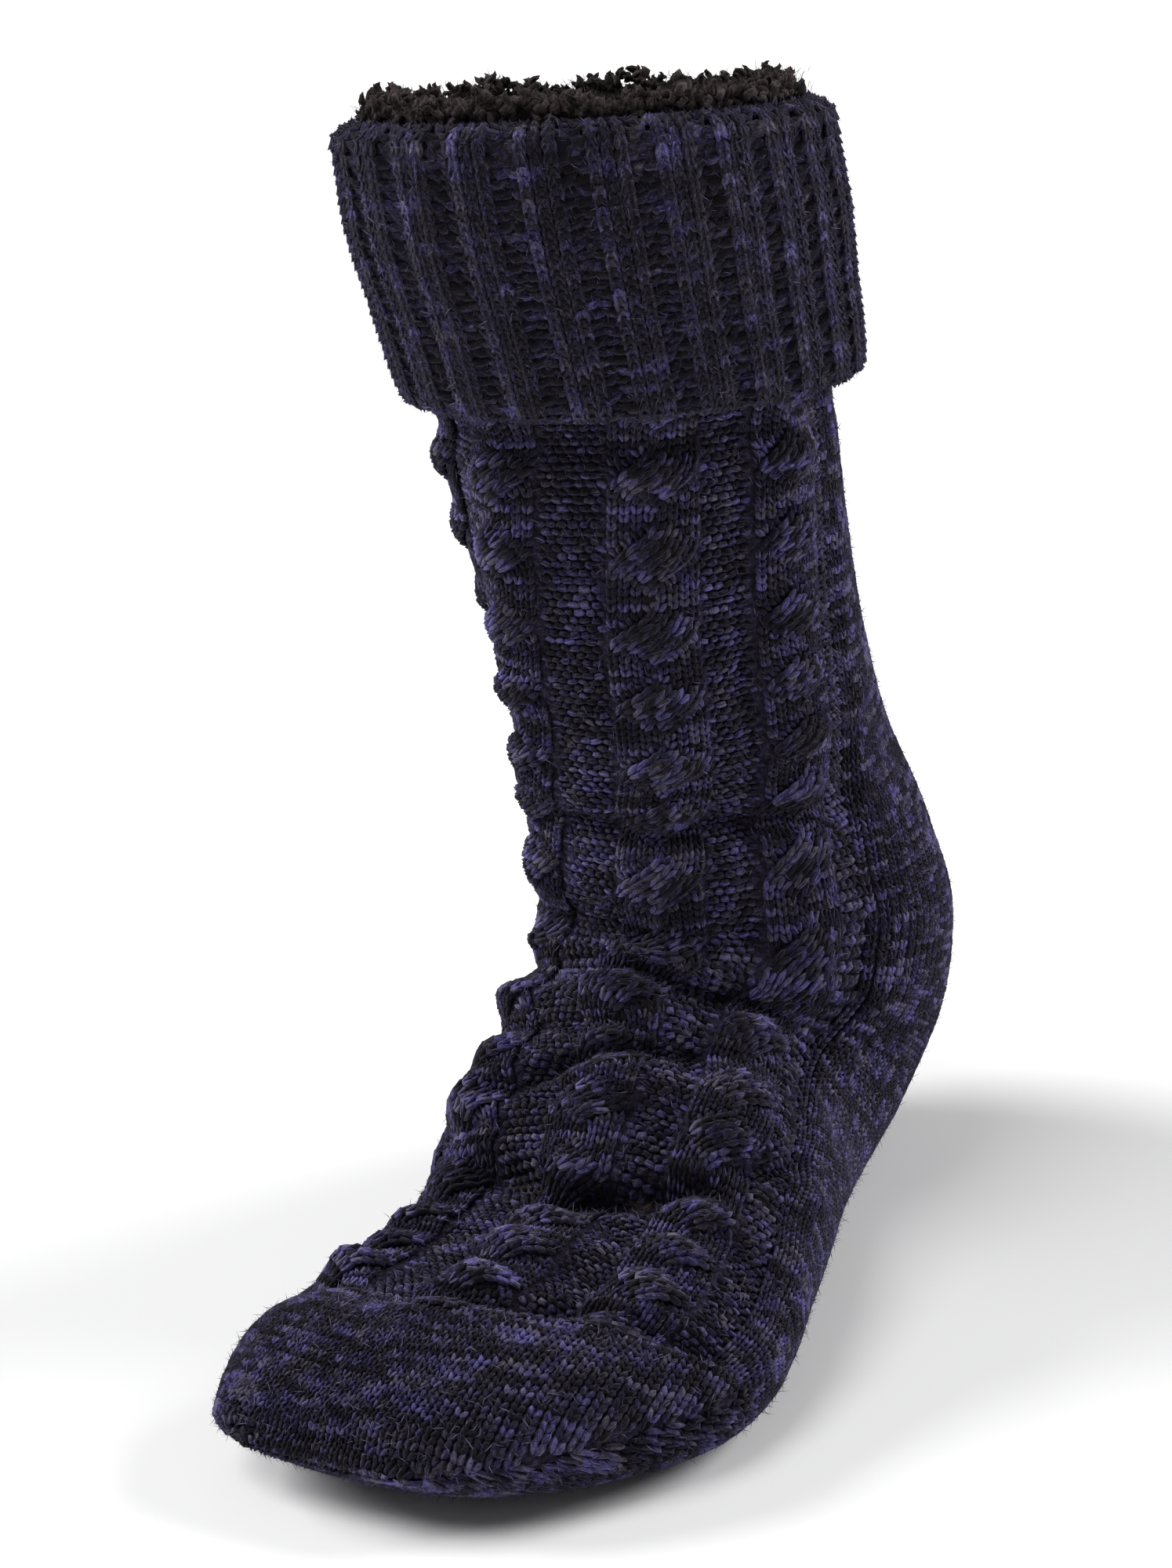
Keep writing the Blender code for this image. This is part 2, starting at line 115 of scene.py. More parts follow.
def sections_in_metres():
    """Each section's front and sole point, half width, sway and flatness, in metres."""
    rows = []
    for row in LEG_SECTIONS:
        middle = row.centre_y * FOOT_LENGTH
        reach = row.depth * SHAFT_DEPTH / 2
        height = row.height * SHAFT_HEIGHT
        low = height - row.back_drop * SHAFT_HEIGHT
        half = row.half * SHAFT_WIDTH / 2
        sway = row.sway * SHAFT_WIDTH / 2
        rows.append((middle + reach, height, middle - reach, low, half, sway, 0.0))
    for row in FOOT_SECTIONS:
        top = (row.top_y * FOOT_LENGTH, row.top_z * INSTEP_HEIGHT)
        sole = (row.sole_y * FOOT_LENGTH, row.sole_z * INSTEP_HEIGHT)
        half = row.half * BALL_WIDTH / 2
        sway = row.sway * BALL_WIDTH / 2
        rows.append((*top, *sole, half, sway, row.flat))
    return np.array(rows)


SECTIONS = sections_in_metres()


def path_knots():
    """How far down the sock each section lies, measured mostly along its front."""
    front = np.linalg.norm(np.diff(SECTIONS[:, 0:2], axis=0), axis=1)
    back = np.linalg.norm(np.diff(SECTIONS[:, 2:4], axis=0), axis=1)
    steps = FRONT_WEIGHT * front + (1 - FRONT_WEIGHT) * back
    return np.concatenate([[0.0], np.cumsum(steps)])


KNOTS = path_knots()
PATH_LENGTH = KNOTS[-1]


def curve_through(knots, rows, at):
    """Values on a smooth curve through the rows of a table, which stand at its knots."""
    slopes = np.gradient(rows, knots, axis=0)
    left = np.clip(np.searchsorted(knots, at, side="right") - 1, 0, len(knots) - 2)
    span = (knots[left + 1] - knots[left])[..., None]
    x = (at - knots[left])[..., None] / span
    start = rows[left] * (1 + 2 * x) * (1 - x) ** 2
    end = rows[left + 1] * (3 - 2 * x) * x**2
    rise = slopes[left] * span * x * (1 - x) ** 2
    fall = slopes[left + 1] * span * x**2 * (x - 1)
    return start + end + rise + fall


def unit(vectors):
    """The same directions at length one."""
    return vectors / (np.linalg.norm(vectors, axis=-1, keepdims=True) + 1e-12)


def bump(x):
    """A soft hump, 1 at 0 and 0 from 1 outwards."""
    return np.cos(np.clip(np.abs(x), 0.0, 1.0) * math.pi / 2) ** 2


def fold_relief(down, turn):
    """How far the slack knit stands out in folds and sinks between them."""
    relief = np.zeros(np.broadcast(down, turn).shape)
    for fold in FOLDS:
        length = fold.length * SHAFT_DEPTH / 2
        middle = fold.down * PATH_LENGTH + fold.slant * PATH_LENGTH * (turn - fold.turn)
        around = bump((turn - fold.turn) / fold.reach)
        crest = bump((down - middle) / length)
        crease = bump((down - middle - length) / (length * CREASE_SHARE))
        relief += fold.rise * SHAFT_DEPTH * around * (crest - CREASE_SHARE * crease)
    return relief


def outline(down, count=144):
    """Closed rings of points round the sock at each distance down, with no relief."""
    section = curve_through(KNOTS, SECTIONS, np.clip(down, 0.0, PATH_LENGTH))
    front_y, front_z, sole_y, sole_z, half, sway, flat = section.T[:, :, None]
    angle = np.linspace(-math.pi, math.pi, count + 1)[None, :]
    along = np.cos(angle)
    across = np.sin(angle)
    squared = np.abs(across) ** (1 - flat * (along < 0)) * np.sign(across)
    reach = np.where(along < 0, -np.abs(along) ** (1 - 0.8 * flat), along)
    middle_y = (front_y + sole_y) / 2
    middle_z = (front_z + sole_z) / 2
    y = middle_y + reach * (front_y - sole_y) / 2
    z = middle_z + reach * (front_z - sole_z) / 2
    x = sway + squared * half
    return np.stack([x, HEEL_SEAT - y, z], axis=-1)


def on_ring(rings, turn):
    """The points at each share of the length round every ring."""
    lengths = np.linalg.norm(np.diff(rings, axis=1), axis=2)
    run = np.concatenate([np.zeros((len(rings), 1)), np.cumsum(lengths, axis=1)], axis=1)
    points = np.empty((len(rings), len(turn), 3))
    share = np.mod(turn + 0.5, 1.0)
    for i, ring in enumerate(rings):
        middle = np.interp(0.0, np.linspace(-0.5, 0.5, ring.shape[0]), run[i])
        at = np.where(
            share < 0.5,
            share * 2 * middle,
            middle + (share * 2 - 1) * (run[i, -1] - middle),
        )
        for axis in range(3):
            points[i, :, axis] = np.interp(at, run[i], ring[:, axis])
    return points


# The knitting's gauge: the width of a wale, the height of a course, and wales round the sock
WALES = 100
BACK_WALES = 50
GAUGE_WALE = 0.0034
GAUGE_COURSE = 0.0021
BACK_COURSE = 0.0023
CUFF_COURSE = 0.0026

# The cable panel, in wales and courses: two ropes on each side of its middle, purl between them.
# Every ten courses a rope's two strands change sides, within CROSSING_COURSES before and after,
# and each wale of a strand CROSSING_LAG courses after its neighbour.
PURL_MIDDLE = 3
CABLE_WALES = 8
PURL_BETWEEN = 5
PURL_SIDE = 4
CABLE_STARTS = [PURL_MIDDLE, PURL_MIDDLE + CABLE_WALES + PURL_BETWEEN]
PANEL_WALES = CABLE_STARTS[-1] + CABLE_WALES + PURL_SIDE
PANEL_COURSES = np.arange(-12, 158)
CABLE_COURSES = 10
CROSSING_COURSES = 3.5
CROSSING_LAG = 0.80
STRAND_SHIFT = 2.0
STRAND_WALES = [-1.5, -0.5, 0.5, 1.5]

# How far each layer of the panel stands off the bare wall, and half widths in wales of the
# rounded rope, of a strand's stitches and of the ground's swell under a strand
PURL_SINK = 0.0006
GROUND_SINK = 0.0009
ROPE_LIFT = 0.0006
ROPE_ROUND = 0.0025
ROPE_OVER = 0.0032
ROPE_UNDER = 0.0014
ROPE_HALF = 4.5
STRAND_HALF = 2.2
SWELL_HALF = 2.8

# How far down the plain knitting behind the leg becomes the heel's
LEG_END = 0.190

# The plain toe: where its first row lies before it slants, the mean and swing of its edge, its
# rows, and the rounded tip past the last section
TOE_START = 0.380
TOE_EDGE = 0.371
TOE_EDGE_SWING = 0.017
TOE_FADE = 0.010
TOE_ROWS = 26
TIP_REACH = 0.0050
TIP_NARROWING = 0.3

# The cuff's ribs, the flat welt at its hem, and how far its ground lies below its stitches
CUFF_RIBS = 25
CUFF_RIB_WALES = 5
CUFF_WALES = CUFF_RIBS * CUFF_RIB_WALES
CUFF_KNIT_WALES = 3
CUFF_GROUND_SINK = 0.0003
RIB_RISE = 0.0011
WELT_COURSES = 3.0

# The collar's pile: its band, how much of it grows on the rim, and how far down it reaches inside
BAND_COLUMNS = 180
RIM_SHARE = 0.45
PILE_REACH = 0.060

# How many stray fibres stand off the knitting
BODY_HAIRS = 24000
CUFF_HAIRS = 11000

# Heights that keep soft yarn off the floor
STITCH_FLOOR = 0.0011
GROUND_FLOOR = 0.0010
PILE_FLOOR = 0.0030
HAIR_FLOOR = 0.005

# Dye of each field of stitches: how many metres of yarn it takes to come and go, how much it
# changes, and how much more indigo the field shows than the rest. On the cuff that last value is
# negative: painted shade that darkens the whole cuff, and its sunk gutters more. The left wale of
# each rib is painted lighter again: a painted highlight where the light catches the rib's edge.
# YARN_ROUND is the wales of yarn from one course to the next.
Dye = namedtuple("Dye", "run strength indigo")
CABLE_DYE = Dye(0.009, 1.6, 0.03)
PURL_DYE = Dye(0.007, 1.2, 0.08)
BACK_DYE = Dye(0.00595, 1.5, 0.05)
TOE_DYE = Dye(0.007, 1.35, 0.06)
RIB_DYE_AND_SHADE = Dye(0.007, 1.1, -0.28)
RIB_EDGE_HIGHLIGHT = 0.34
GUTTER_DYE_AND_SHADE = Dye(0.007, 1.1, -0.34)
YARN_ROUND = 137.3

# How far down the front each course lies where a cable twists: slack knitting crowds at the ankle.
CourseMark = namedtuple("CourseMark", "course down")
COURSE_MARKS = [
    CourseMark(-16, 0.055),
    CourseMark(0, 0.087),
    CourseMark(10, 0.108),
    CourseMark(20, 0.129),
    CourseMark(30, 0.147),
    CourseMark(40, 0.165),
    CourseMark(50, 0.180),
    CourseMark(60, 0.198),
    CourseMark(70, 0.228),
    CourseMark(80, 0.267),
    CourseMark(90, 0.290),
    CourseMark(100, 0.309),
    CourseMark(110, 0.333),
    CourseMark(120, 0.347),
    CourseMark(130, 0.361),
    CourseMark(140, 0.375),
    CourseMark(160, 0.403),
    CourseMark(180, 0.430),
]

# The cable panel swings round towards the big toe on its way down. middle and half are shares of
# the way round the sock, at distances down it in metres.
PanelLine = namedtuple("PanelLine", "down middle half")
PANEL_LINES = [
    PanelLine(0.055, 0.035, 0.255),
    PanelLine(0.087, 0.022, 0.256),
    PanelLine(0.135, -0.003, 0.264),
    PanelLine(0.168, -0.010, 0.262),
    PanelLine(0.205, -0.030, 0.222),
    PanelLine(0.228, -0.036, 0.207),
    PanelLine(0.255, -0.040, 0.212),
    PanelLine(0.285, -0.055, 0.246),
    PanelLine(0.310, -0.072, 0.262),
    PanelLine(0.345, -0.085, 0.281),
    PanelLine(0.405, -0.080, 0.285),
]

# Creases and swells, one by one: middle, half length down, half reach round, height, and how
# far the middle drops in metres per share of a turn.
Crease = namedtuple("Crease", "down turn length reach height slant")
CREASES = [
    Crease(0.079, 0.00, 0.010, 0.50, -0.0025, 0.000),
    Crease(0.183, 0.05, 0.008, 0.22, -0.0060, 0.020),
    Crease(0.243, 0.05, 0.022, 0.30, 0.0026, 0.000),
    Crease(0.294, -0.02, 0.007, 0.17, -0.0070, -0.120),
    Crease(0.333, -0.08, 0.009, 0.14, -0.0065, 0.080),
    Crease(0.332, 0.06, 0.008, 0.16, -0.0095, -0.100),
    Crease(0.308, 0.16, 0.009, 0.07, -0.0050, -0.300),
    Crease(0.376, 0.08, 0.007, 0.22, -0.0055, -0.080),
    Crease(0.313, -0.03, 0.010, 0.18, 0.0030, 0.020),
    Crease(0.356, 0.02, 0.011, 0.20, 0.0030, -0.060),
]

# Grooves beside one outer cable and along the panel's edges, in wales from its middle
Groove = namedtuple("Groove", "wale half depth")
GROOVES = [Groove(14.9, 1.6, 0.0012), Groove(28.0, 2.8, 0.0018), Groove(-28.0, 2.8, 0.0012)]

# Steps of the chart's fine rings, and of the ground shell and its pile side
GRID_ROWS, TIP_ROWS, GRID_COLUMNS = 430, 5, 401
SHELL_ROWS, PILE_ROWS, SHELL_COLUMNS = 190, 60, 121

rng = np.random.default_rng(11)


def toe_cap_edge(turn):
    """How far down the sock the plain toe starts: latest over the toes, sooner beside them."""
    return TOE_EDGE + TOE_EDGE_SWING * np.cos(2 * math.pi * 1.15 * (turn + 0.03))


def toe_fade(down, turn):
    """1 on the panel, falling to 0 at the plain toe, where the ropes flatten out."""
    return np.clip((toe_cap_edge(turn) + 0.003 - down) / TOE_FADE, 0.0, 1.0)


def chart_grid():
    """Fine rings of the sock's bare surface, closed over the tip of the toe, with its normals."""
    tip = PATH_LENGTH + TIP_REACH * np.linspace(0.2, 1.0, TIP_ROWS)
    downs = np.concatenate([np.linspace(0.0, PATH_LENGTH, GRID_ROWS), tip])
    turns = np.linspace(-0.5, 0.5, GRID_COLUMNS)
    points = on_ring(outline(downs), turns)
    past = np.clip((downs - PATH_LENGTH) / TIP_REACH, 0.0, 1.0)[:, None] * math.pi / 2
    middle = points[..., 2].mean(axis=1, keepdims=True)
    height = points[-1, :, 2].max() - points[-1, :, 2].min()
    points[..., 2] = middle + (points[..., 2] - middle) * np.cos(past)
    points[..., 1] -= height / 2 * np.sin(past)
    centre = points[..., 0].mean(axis=1, keepdims=True)
    points[..., 0] = centre + (points[..., 0] - centre) * (1 - TIP_NARROWING * np.sin(past) ** 2)
    normals = unit(np.cross(np.gradient(points, axis=0), np.gradient(points, axis=1)))
    return downs, turns, points, normals


GRID_DOWNS, GRID_TURNS, GRID_POINTS, GRID_NORMALS = chart_grid()
RING_LENGTHS = np.linalg.norm(np.diff(GRID_POINTS, axis=1), axis=2).sum(axis=1)


def look_up(table, down, turn):
    """Values of a chart table between its rows and columns."""
    row = np.interp(down, GRID_DOWNS, np.arange(len(GRID_DOWNS)))
    column = np.mod(turn + 0.5, 1.0) * (len(GRID_TURNS) - 1)
    i = np.clip(row.astype(int), 0, len(GRID_DOWNS) - 2)
    j = np.clip(column.astype(int), 0, len(GRID_TURNS) - 2)
    a, b = (row - i)[..., None], (column - j)[..., None]
    upper = table[i, j] * (1 - b) + table[i, j + 1] * b
    lower = table[i + 1, j] * (1 - b) + table[i + 1, j + 1] * b
    return upper * (1 - a) + lower * a


def panel_line(down):
    """The middle of the cable panel and its half width, as shares of the way round."""
    lines = np.array(PANEL_LINES)
    return (np.interp(down, lines[:, 0], lines[:, k]) for k in (1, 2))


def panel_wale(down, turn):
    """The wale of the cable panel at a place round the sock."""
    middle, half = panel_line(down)
    return (np.mod(turn - middle + 0.5, 1.0) - 0.5) / half * PANEL_WALES


def panel_turn(down, wale):
    """Where a wale of the cable panel lies round the sock."""
    middle, half = panel_line(down)
    return middle + half * wale / PANEL_WALES


def crease_relief(down, turn):
    """How far the listed creases and swells lift or sink the knitting."""
    lift = np.zeros(np.broadcast(down, turn).shape)
    for crease in CREASES:
        middle = crease.down + crease.slant * (turn - crease.turn)
        around = bump((turn - crease.turn) / crease.reach)
        lift = lift + crease.height * around * bump((down - middle) / crease.length)
    return lift


def slack(down, turn):
    """How far folds, swells, creases and grooves lift or sink the knitting."""
    lift = fold_relief(down, turn) + crease_relief(down, turn)
    wale = panel_wale(down, turn)
    on_panel = down < toe_cap_edge(turn)
    for groove in GROOVES:
        lift = lift - groove.depth * bump((wale - groove.wale) / groove.half) * on_panel
    return lift


def knit_point(down, turn, lift):
    """A place on the sock's outside, with its folds, lifted off along the surface's normal."""
    down, turn = np.broadcast_arrays(down, turn)
    normal = unit(look_up(GRID_NORMALS, down, turn))
    return look_up(GRID_POINTS, down, turn) + normal * (slack(down, turn) + lift)[..., None]


def course_down(course):
    """How far down the panel a course lies, on a smooth curve through the marks."""
    marks = np.array(COURSE_MARKS)
    return curve_through(marks[:, 0], marks[:, 1:], course)[..., 0]


def purl_spot(course, wale):
    """A place on the sunk purl columns between the cables."""
    down = course_down(course)
    return knit_point(down, panel_turn(down, wale), -PURL_SINK)


def rope_swing(course, offset, over):
    """How far a cable's strand has crossed over, from -1 to 1, and how near its crossing it is."""
    near = course - CABLE_COURSES * np.round(np.round(course) / CABLE_COURSES)
    lag = CROSSING_LAG * offset * (1.0 if over else -1.0)
    swing = np.sin(np.clip((near - lag) / CROSSING_COURSES, -1.0, 1.0) * math.pi / 2)
    return swing, 1.0 - swing**2


def rope_spot(centre, over):
    """The chart of one strand of a cable, the one that passes over or the one below it."""

    def spot(course, offset):
        swing, crossing = rope_swing(course, offset, over)
        wale = (-STRAND_SHIFT if over else STRAND_SHIFT) * swing + offset
        lift = ROPE_LIFT + ROPE_ROUND * np.clip(1 - (wale / ROPE_HALF) ** 2, 0.0, 1.0)
        rounded = np.sqrt(np.clip(1 - (offset / STRAND_HALF) ** 2, 0.0, 1.0))
        strand = ROPE_OVER * rounded if over else -ROPE_UNDER
        down = course_down(course)
        turn = panel_turn(down, centre + wale * 0.96)
        return knit_point(down, turn, (lift + crossing * strand) * toe_fade(down, turn))

    return spot


def back_line():
    """How far down each row of the plain back and sole lies, in even steps behind the heel."""
    column = int(round(0.90 * (GRID_COLUMNS - 1)))
    steps = np.linalg.norm(np.diff(GRID_POINTS[:, column], axis=0), axis=1)
    return np.concatenate([[0.0], np.cumsum(steps)]) / BACK_COURSE


BACK_RUN = back_line()


def back_turn(down, wale):
    """Where a wale of the plain knitting behind lies round the sock."""
    right = panel_turn(down, PANEL_WALES)
    left = panel_turn(down, -PANEL_WALES) + 1.0
    return right + (left - right) * wale / BACK_WALES


def back_spot(course, wale):
    """A place on the plain knitting behind the leg and under the foot."""
    down = np.interp(course, BACK_RUN, GRID_DOWNS)
    return knit_point(down, back_turn(down, wale), 0.0)


def toe_place(row, wale, sole):
    """Distance down and share round of a place on the plain toe cap."""
    share = row / TOE_ROWS
    middle = TOE_START + 0.010 + share * (PATH_LENGTH + TIP_REACH - TOE_START - 0.010)
    pitch = np.interp(TOE_START + 0.005, GRID_DOWNS, RING_LENGTHS) / WALES
    turn = wale * pitch / np.interp(middle, GRID_DOWNS, RING_LENGTHS) + (0.5 if sole else -0.01)
    edge = toe_cap_edge(np.mod(turn + 0.5, 1.0) - 0.5)
    slant = (edge - TOE_START) * (1 - share**2)
    return TOE_START + share * (PATH_LENGTH + TIP_REACH - TOE_START) + slant, turn


def toe_spot(sole):
    """The chart of the plain toe cap, over the toes or under them."""

    def spot(row, wale):
        down, turn = toe_place(row, wale, sole)
        return knit_point(down, turn, 0.0)

    return spot


def cuff_line():
    """The cuff's way from inside the hem, up outside, over the fold and in, by length run."""
    full = CUFF_THICKNESS

    def leaf(down):
        return CLEARANCE * 2 + CUFF_STAND_OFF * math.sin(down / CUFF_DROP * math.pi / 2)

    top = full + CLEARANCE + FOLD_RISE * 0.35
    line = [(CUFF_DROP - 0.002, leaf(CUFF_DROP), 0.0)]
    line += [(CUFF_DROP + 0.0008, leaf(CUFF_DROP) + full * 0.5, 0.0)]
    # The turned-down leaf stands 1.5 mm further off in its upper half
    for share in (0.985, 0.9, 0.75, 0.6, 0.45, 0.3, 0.15, 0.06):
        swell = 0.0015 * min(1.0, max(0.0, (0.6 - share) / 0.3))
        line.append((share * CUFF_DROP, leaf(share * CUFF_DROP) + full + swell, 0.0))
    line += [(0.0, top, FOLD_RISE * 0.35), (0.0, top * 0.75, FOLD_RISE * 0.75)]
    line += [(0.0, top * 0.35, FOLD_RISE), (0.0, -KNIT_WALL * 0.5, FOLD_RISE)]
    line += [(0.0, -KNIT_WALL - 0.0015, FOLD_RISE * 0.4)]
    line = np.array(line)
    run = np.concatenate([[0.0], np.cumsum(np.linalg.norm(np.diff(line, axis=0), axis=1))])
    return run, line


CUFF_RUN, CUFF_LINE = cuff_line()


def cuff_way(run):
    """Down the leg, off it and up from it, at a length run along the cuff."""
    return (np.interp(run, CUFF_RUN, CUFF_LINE[:, k]) for k in range(3))


def level_point(down, turn, off, up):
    """A place beside the shaft, moved outwards on the level and then up."""
    down, turn = np.broadcast_arrays(down, turn)
    normal = unit(look_up(GRID_NORMALS, down, turn) * [1.0, 1.0, 0.0])
    place = look_up(GRID_POINTS, down, turn) + normal * np.broadcast_to(off, down.shape)[..., None]
    place[..., 2] += up
    return place


def rib_wave(wale):
    """1 on the cuff's plain wales, -1 in the gutters between them."""
    middle = CUFF_KNIT_WALES / 2
    away = np.abs(np.mod(wale - middle + CUFF_RIB_WALES / 2, CUFF_RIB_WALES) - CUFF_RIB_WALES / 2)
    return np.clip((middle + 0.1 - away) / 0.55, -1.0, 1.0)


def cuff_spot(course, wale):
    """A place on the ribbed cuff, counted in courses up from its hem."""
    run = course * CUFF_COURSE
    down, off, up = cuff_way(run)
    # Ribs grow out of the flat welt, and flatten again where the cuff goes in over the fold
    strength = 0.25 + 0.75 * np.clip((course - 1.5) / WELT_COURSES, 0.0, 1.0)
    ease = np.clip((CUFF_RUN[-1] - run) / 0.012, 0.0, 1.0)
    rib = RIB_RISE * strength * ease * rib_wave(wale)
    return level_point(down, wale / CUFF_WALES, off + rib, up)


def smooth_noise(at, scale, seed):
    """Even random values that change smoothly along a length of yarn."""
    count = 4096
    table = np.random.default_rng(seed).random(count)
    cell = at / scale
    left = np.floor(cell).astype(int)
    x = cell - left
    x = x * x * (3 - 2 * x)
    return table[left % count] * (1 - x) + table[(left + 1) % count] * x


def yarn_dye(course, wale, dye):
    """How much indigo shows at each stitch: the dye comes and goes along the yarn, and each field's
    offset shifts it, darker on the cuff as painted shade.
    """
    at = (course * YARN_ROUND + wale) * GAUGE_WALE
    short = smooth_noise(at, dye.run, 3)
    long = smooth_noise(at, dye.run * 4, 5)
    spread = 0.65 * (short - 0.5) + 0.35 * (long - 0.5) + rng.normal(0, 0.16, np.shape(at))
    return np.clip(0.5 + dye.strength * spread, 0.0, 1.0) + dye.indigo


def painted_crease_shade(down, turn):
    """How much darker the stitches are painted down in the creases: painted shade."""
    return 40.0 * np.clip(-crease_relief(down, turn), 0.0, 0.009)


def stitch_points(name, spot, course, wale, dye, spread=1.0, uneven=0.03):
    """A mesh of bare points, each with the lie, size and dye of one stitch."""
    place = spot(course, wale)
    along = (spot(course + 0.4, wale) - spot(course - 0.4, wale)) / 0.8
    across = (spot(course, wale + 0.3) - spot(course, wale - 0.3)) / 0.6
    out = unit(np.cross(along, across))
    place[..., 2] = np.maximum(place[..., 2], STITCH_FLOOR)
    width = np.clip(np.linalg.norm(across, axis=-1) / GAUGE_WALE, 0.5, 1.15)
    length = np.linalg.norm(along, axis=-1) / GAUGE_COURSE * spread
    full = np.clip(np.sqrt(width * length), 0.75, 1.08) * rng.normal(1.0, 0.06, len(course))
    size = np.stack([width, length, full], axis=-1) * rng.normal(1.0, uneven, (len(course), 3))
    return point_mesh(name, place, along, out, size, dye)


def point_mesh(name, place, along, out, size, dye):
    """Bare points that carry a direction, an outward direction, a size and a dye value."""
    mesh = bpy.data.meshes.new(name)
    mesh.vertices.add(len(place))
    mesh.vertices.foreach_set("co", np.asarray(place, np.float32).ravel())
    for label, values in (("along", along), ("out", out), ("size", size)):
        layer = mesh.attributes.new(label, "FLOAT_VECTOR", "POINT")
        layer.data.foreach_set("vector", np.asarray(values, np.float32).ravel())
    layer = mesh.attributes.new("dye", "FLOAT", "POINT")
    layer.data.foreach_set("value", np.asarray(dye, np.float32).ravel())
    mesh.update()
    return mesh


def yarn_form(name, spines, sides, radii):
    """Closed tapered strands of yarn round short spines, charted along them and round them."""
    points, faces, coords = [], [], []
    for spine in spines:
        spine = [Vector(p) for p in spine]
        base = len(points)
        points.append(spine[0])
        for i in range(1, len(spine) - 1):
            ahead = (spine[i + 1] - spine[i - 1]).normalized()
            side = ahead.cross(Vector((0, 0, 1))).normalized()
            rise = side.cross(ahead)
            for k in range(sides):
                angle = 2 * math.pi * k / sides + math.pi / 2
                wide, high = radii[i - 1]
                off = side * wide * math.cos(angle) + rise * high * math.sin(angle)
                points.append(spine[i] + off)
        points.append(spine[-1])
        rings = len(spine) - 2
        for k in range(sides):
            n = (k + 1) % sides
            faces.append((base, base + 1 + n, base + 1 + k))
            coords.append([(0, k + 0.5), (1, k + 1), (1, k)])
            for i in range(rings - 1):
                low, high = base + 1 + i * sides, base + 1 + (i + 1) * sides
                faces.append((low + k, low + n, high + n, high + k))
                coords.append([(i + 1, k), (i + 1, k + 1), (i + 2, k + 1), (i + 2, k)])
            last = base + 1 + (rings - 1) * sides
            faces.append((last + k, last + n, len(points) - 1))
            coords.append([(rings, k), (rings, k + 1), (rings + 1, k + 0.5)])
    mesh = bpy.data.meshes.new(name)
    mesh.from_pydata(points, [], faces)
    layer = mesh.uv_layers.new(name="UVMap")
    # One unit of the chart is a stitch's leg, which has three spans
    for polygon, corners in zip(mesh.polygons, coords):
        for loop, (u, v) in zip(polygon.loop_indices, corners):
            layer.data[loop].uv = (u / 3.0, v / sides)
    mesh.shade_smooth()
    form = bpy.data.objects.new(name, mesh)
    bpy.context.scene.collection.objects.link(form)
    return form


def colour(code):
    """A colour written as on a dyer's card, as the renderer counts it."""
    shares = [int(code[i : i + 2], 16) / 255 for i in (1, 3, 5)]
    light = [v / 12.92 if v <= 0.04045 else ((v + 0.055) / 1.055) ** 2.4 for v in shares]
    return (*light, 1.0)


def add_node(tree, kind, inputs=None, steps=(), **settings):
    """A node with its settings and inputs, and with colours in steps where it holds any.

    An input is a value or another node's output.
    """
    node = tree.nodes.new(kind)
    for key, value in settings.items():
        setattr(node, key, value)
    for _ in steps[2:]:
        node.color_ramp.elements.new(0.5)
    for number, (position, code) in enumerate(steps):
        node.color_ramp.elements[number].position = position
        node.color_ramp.elements[number].color = colour(code)
    for key, value in (inputs or {}).items():
        socket = node.inputs[key]
        if isinstance(value, bpy.types.NodeSocket):
            tree.links.new(value, socket)
        else:
            socket.default_value = value
    return node


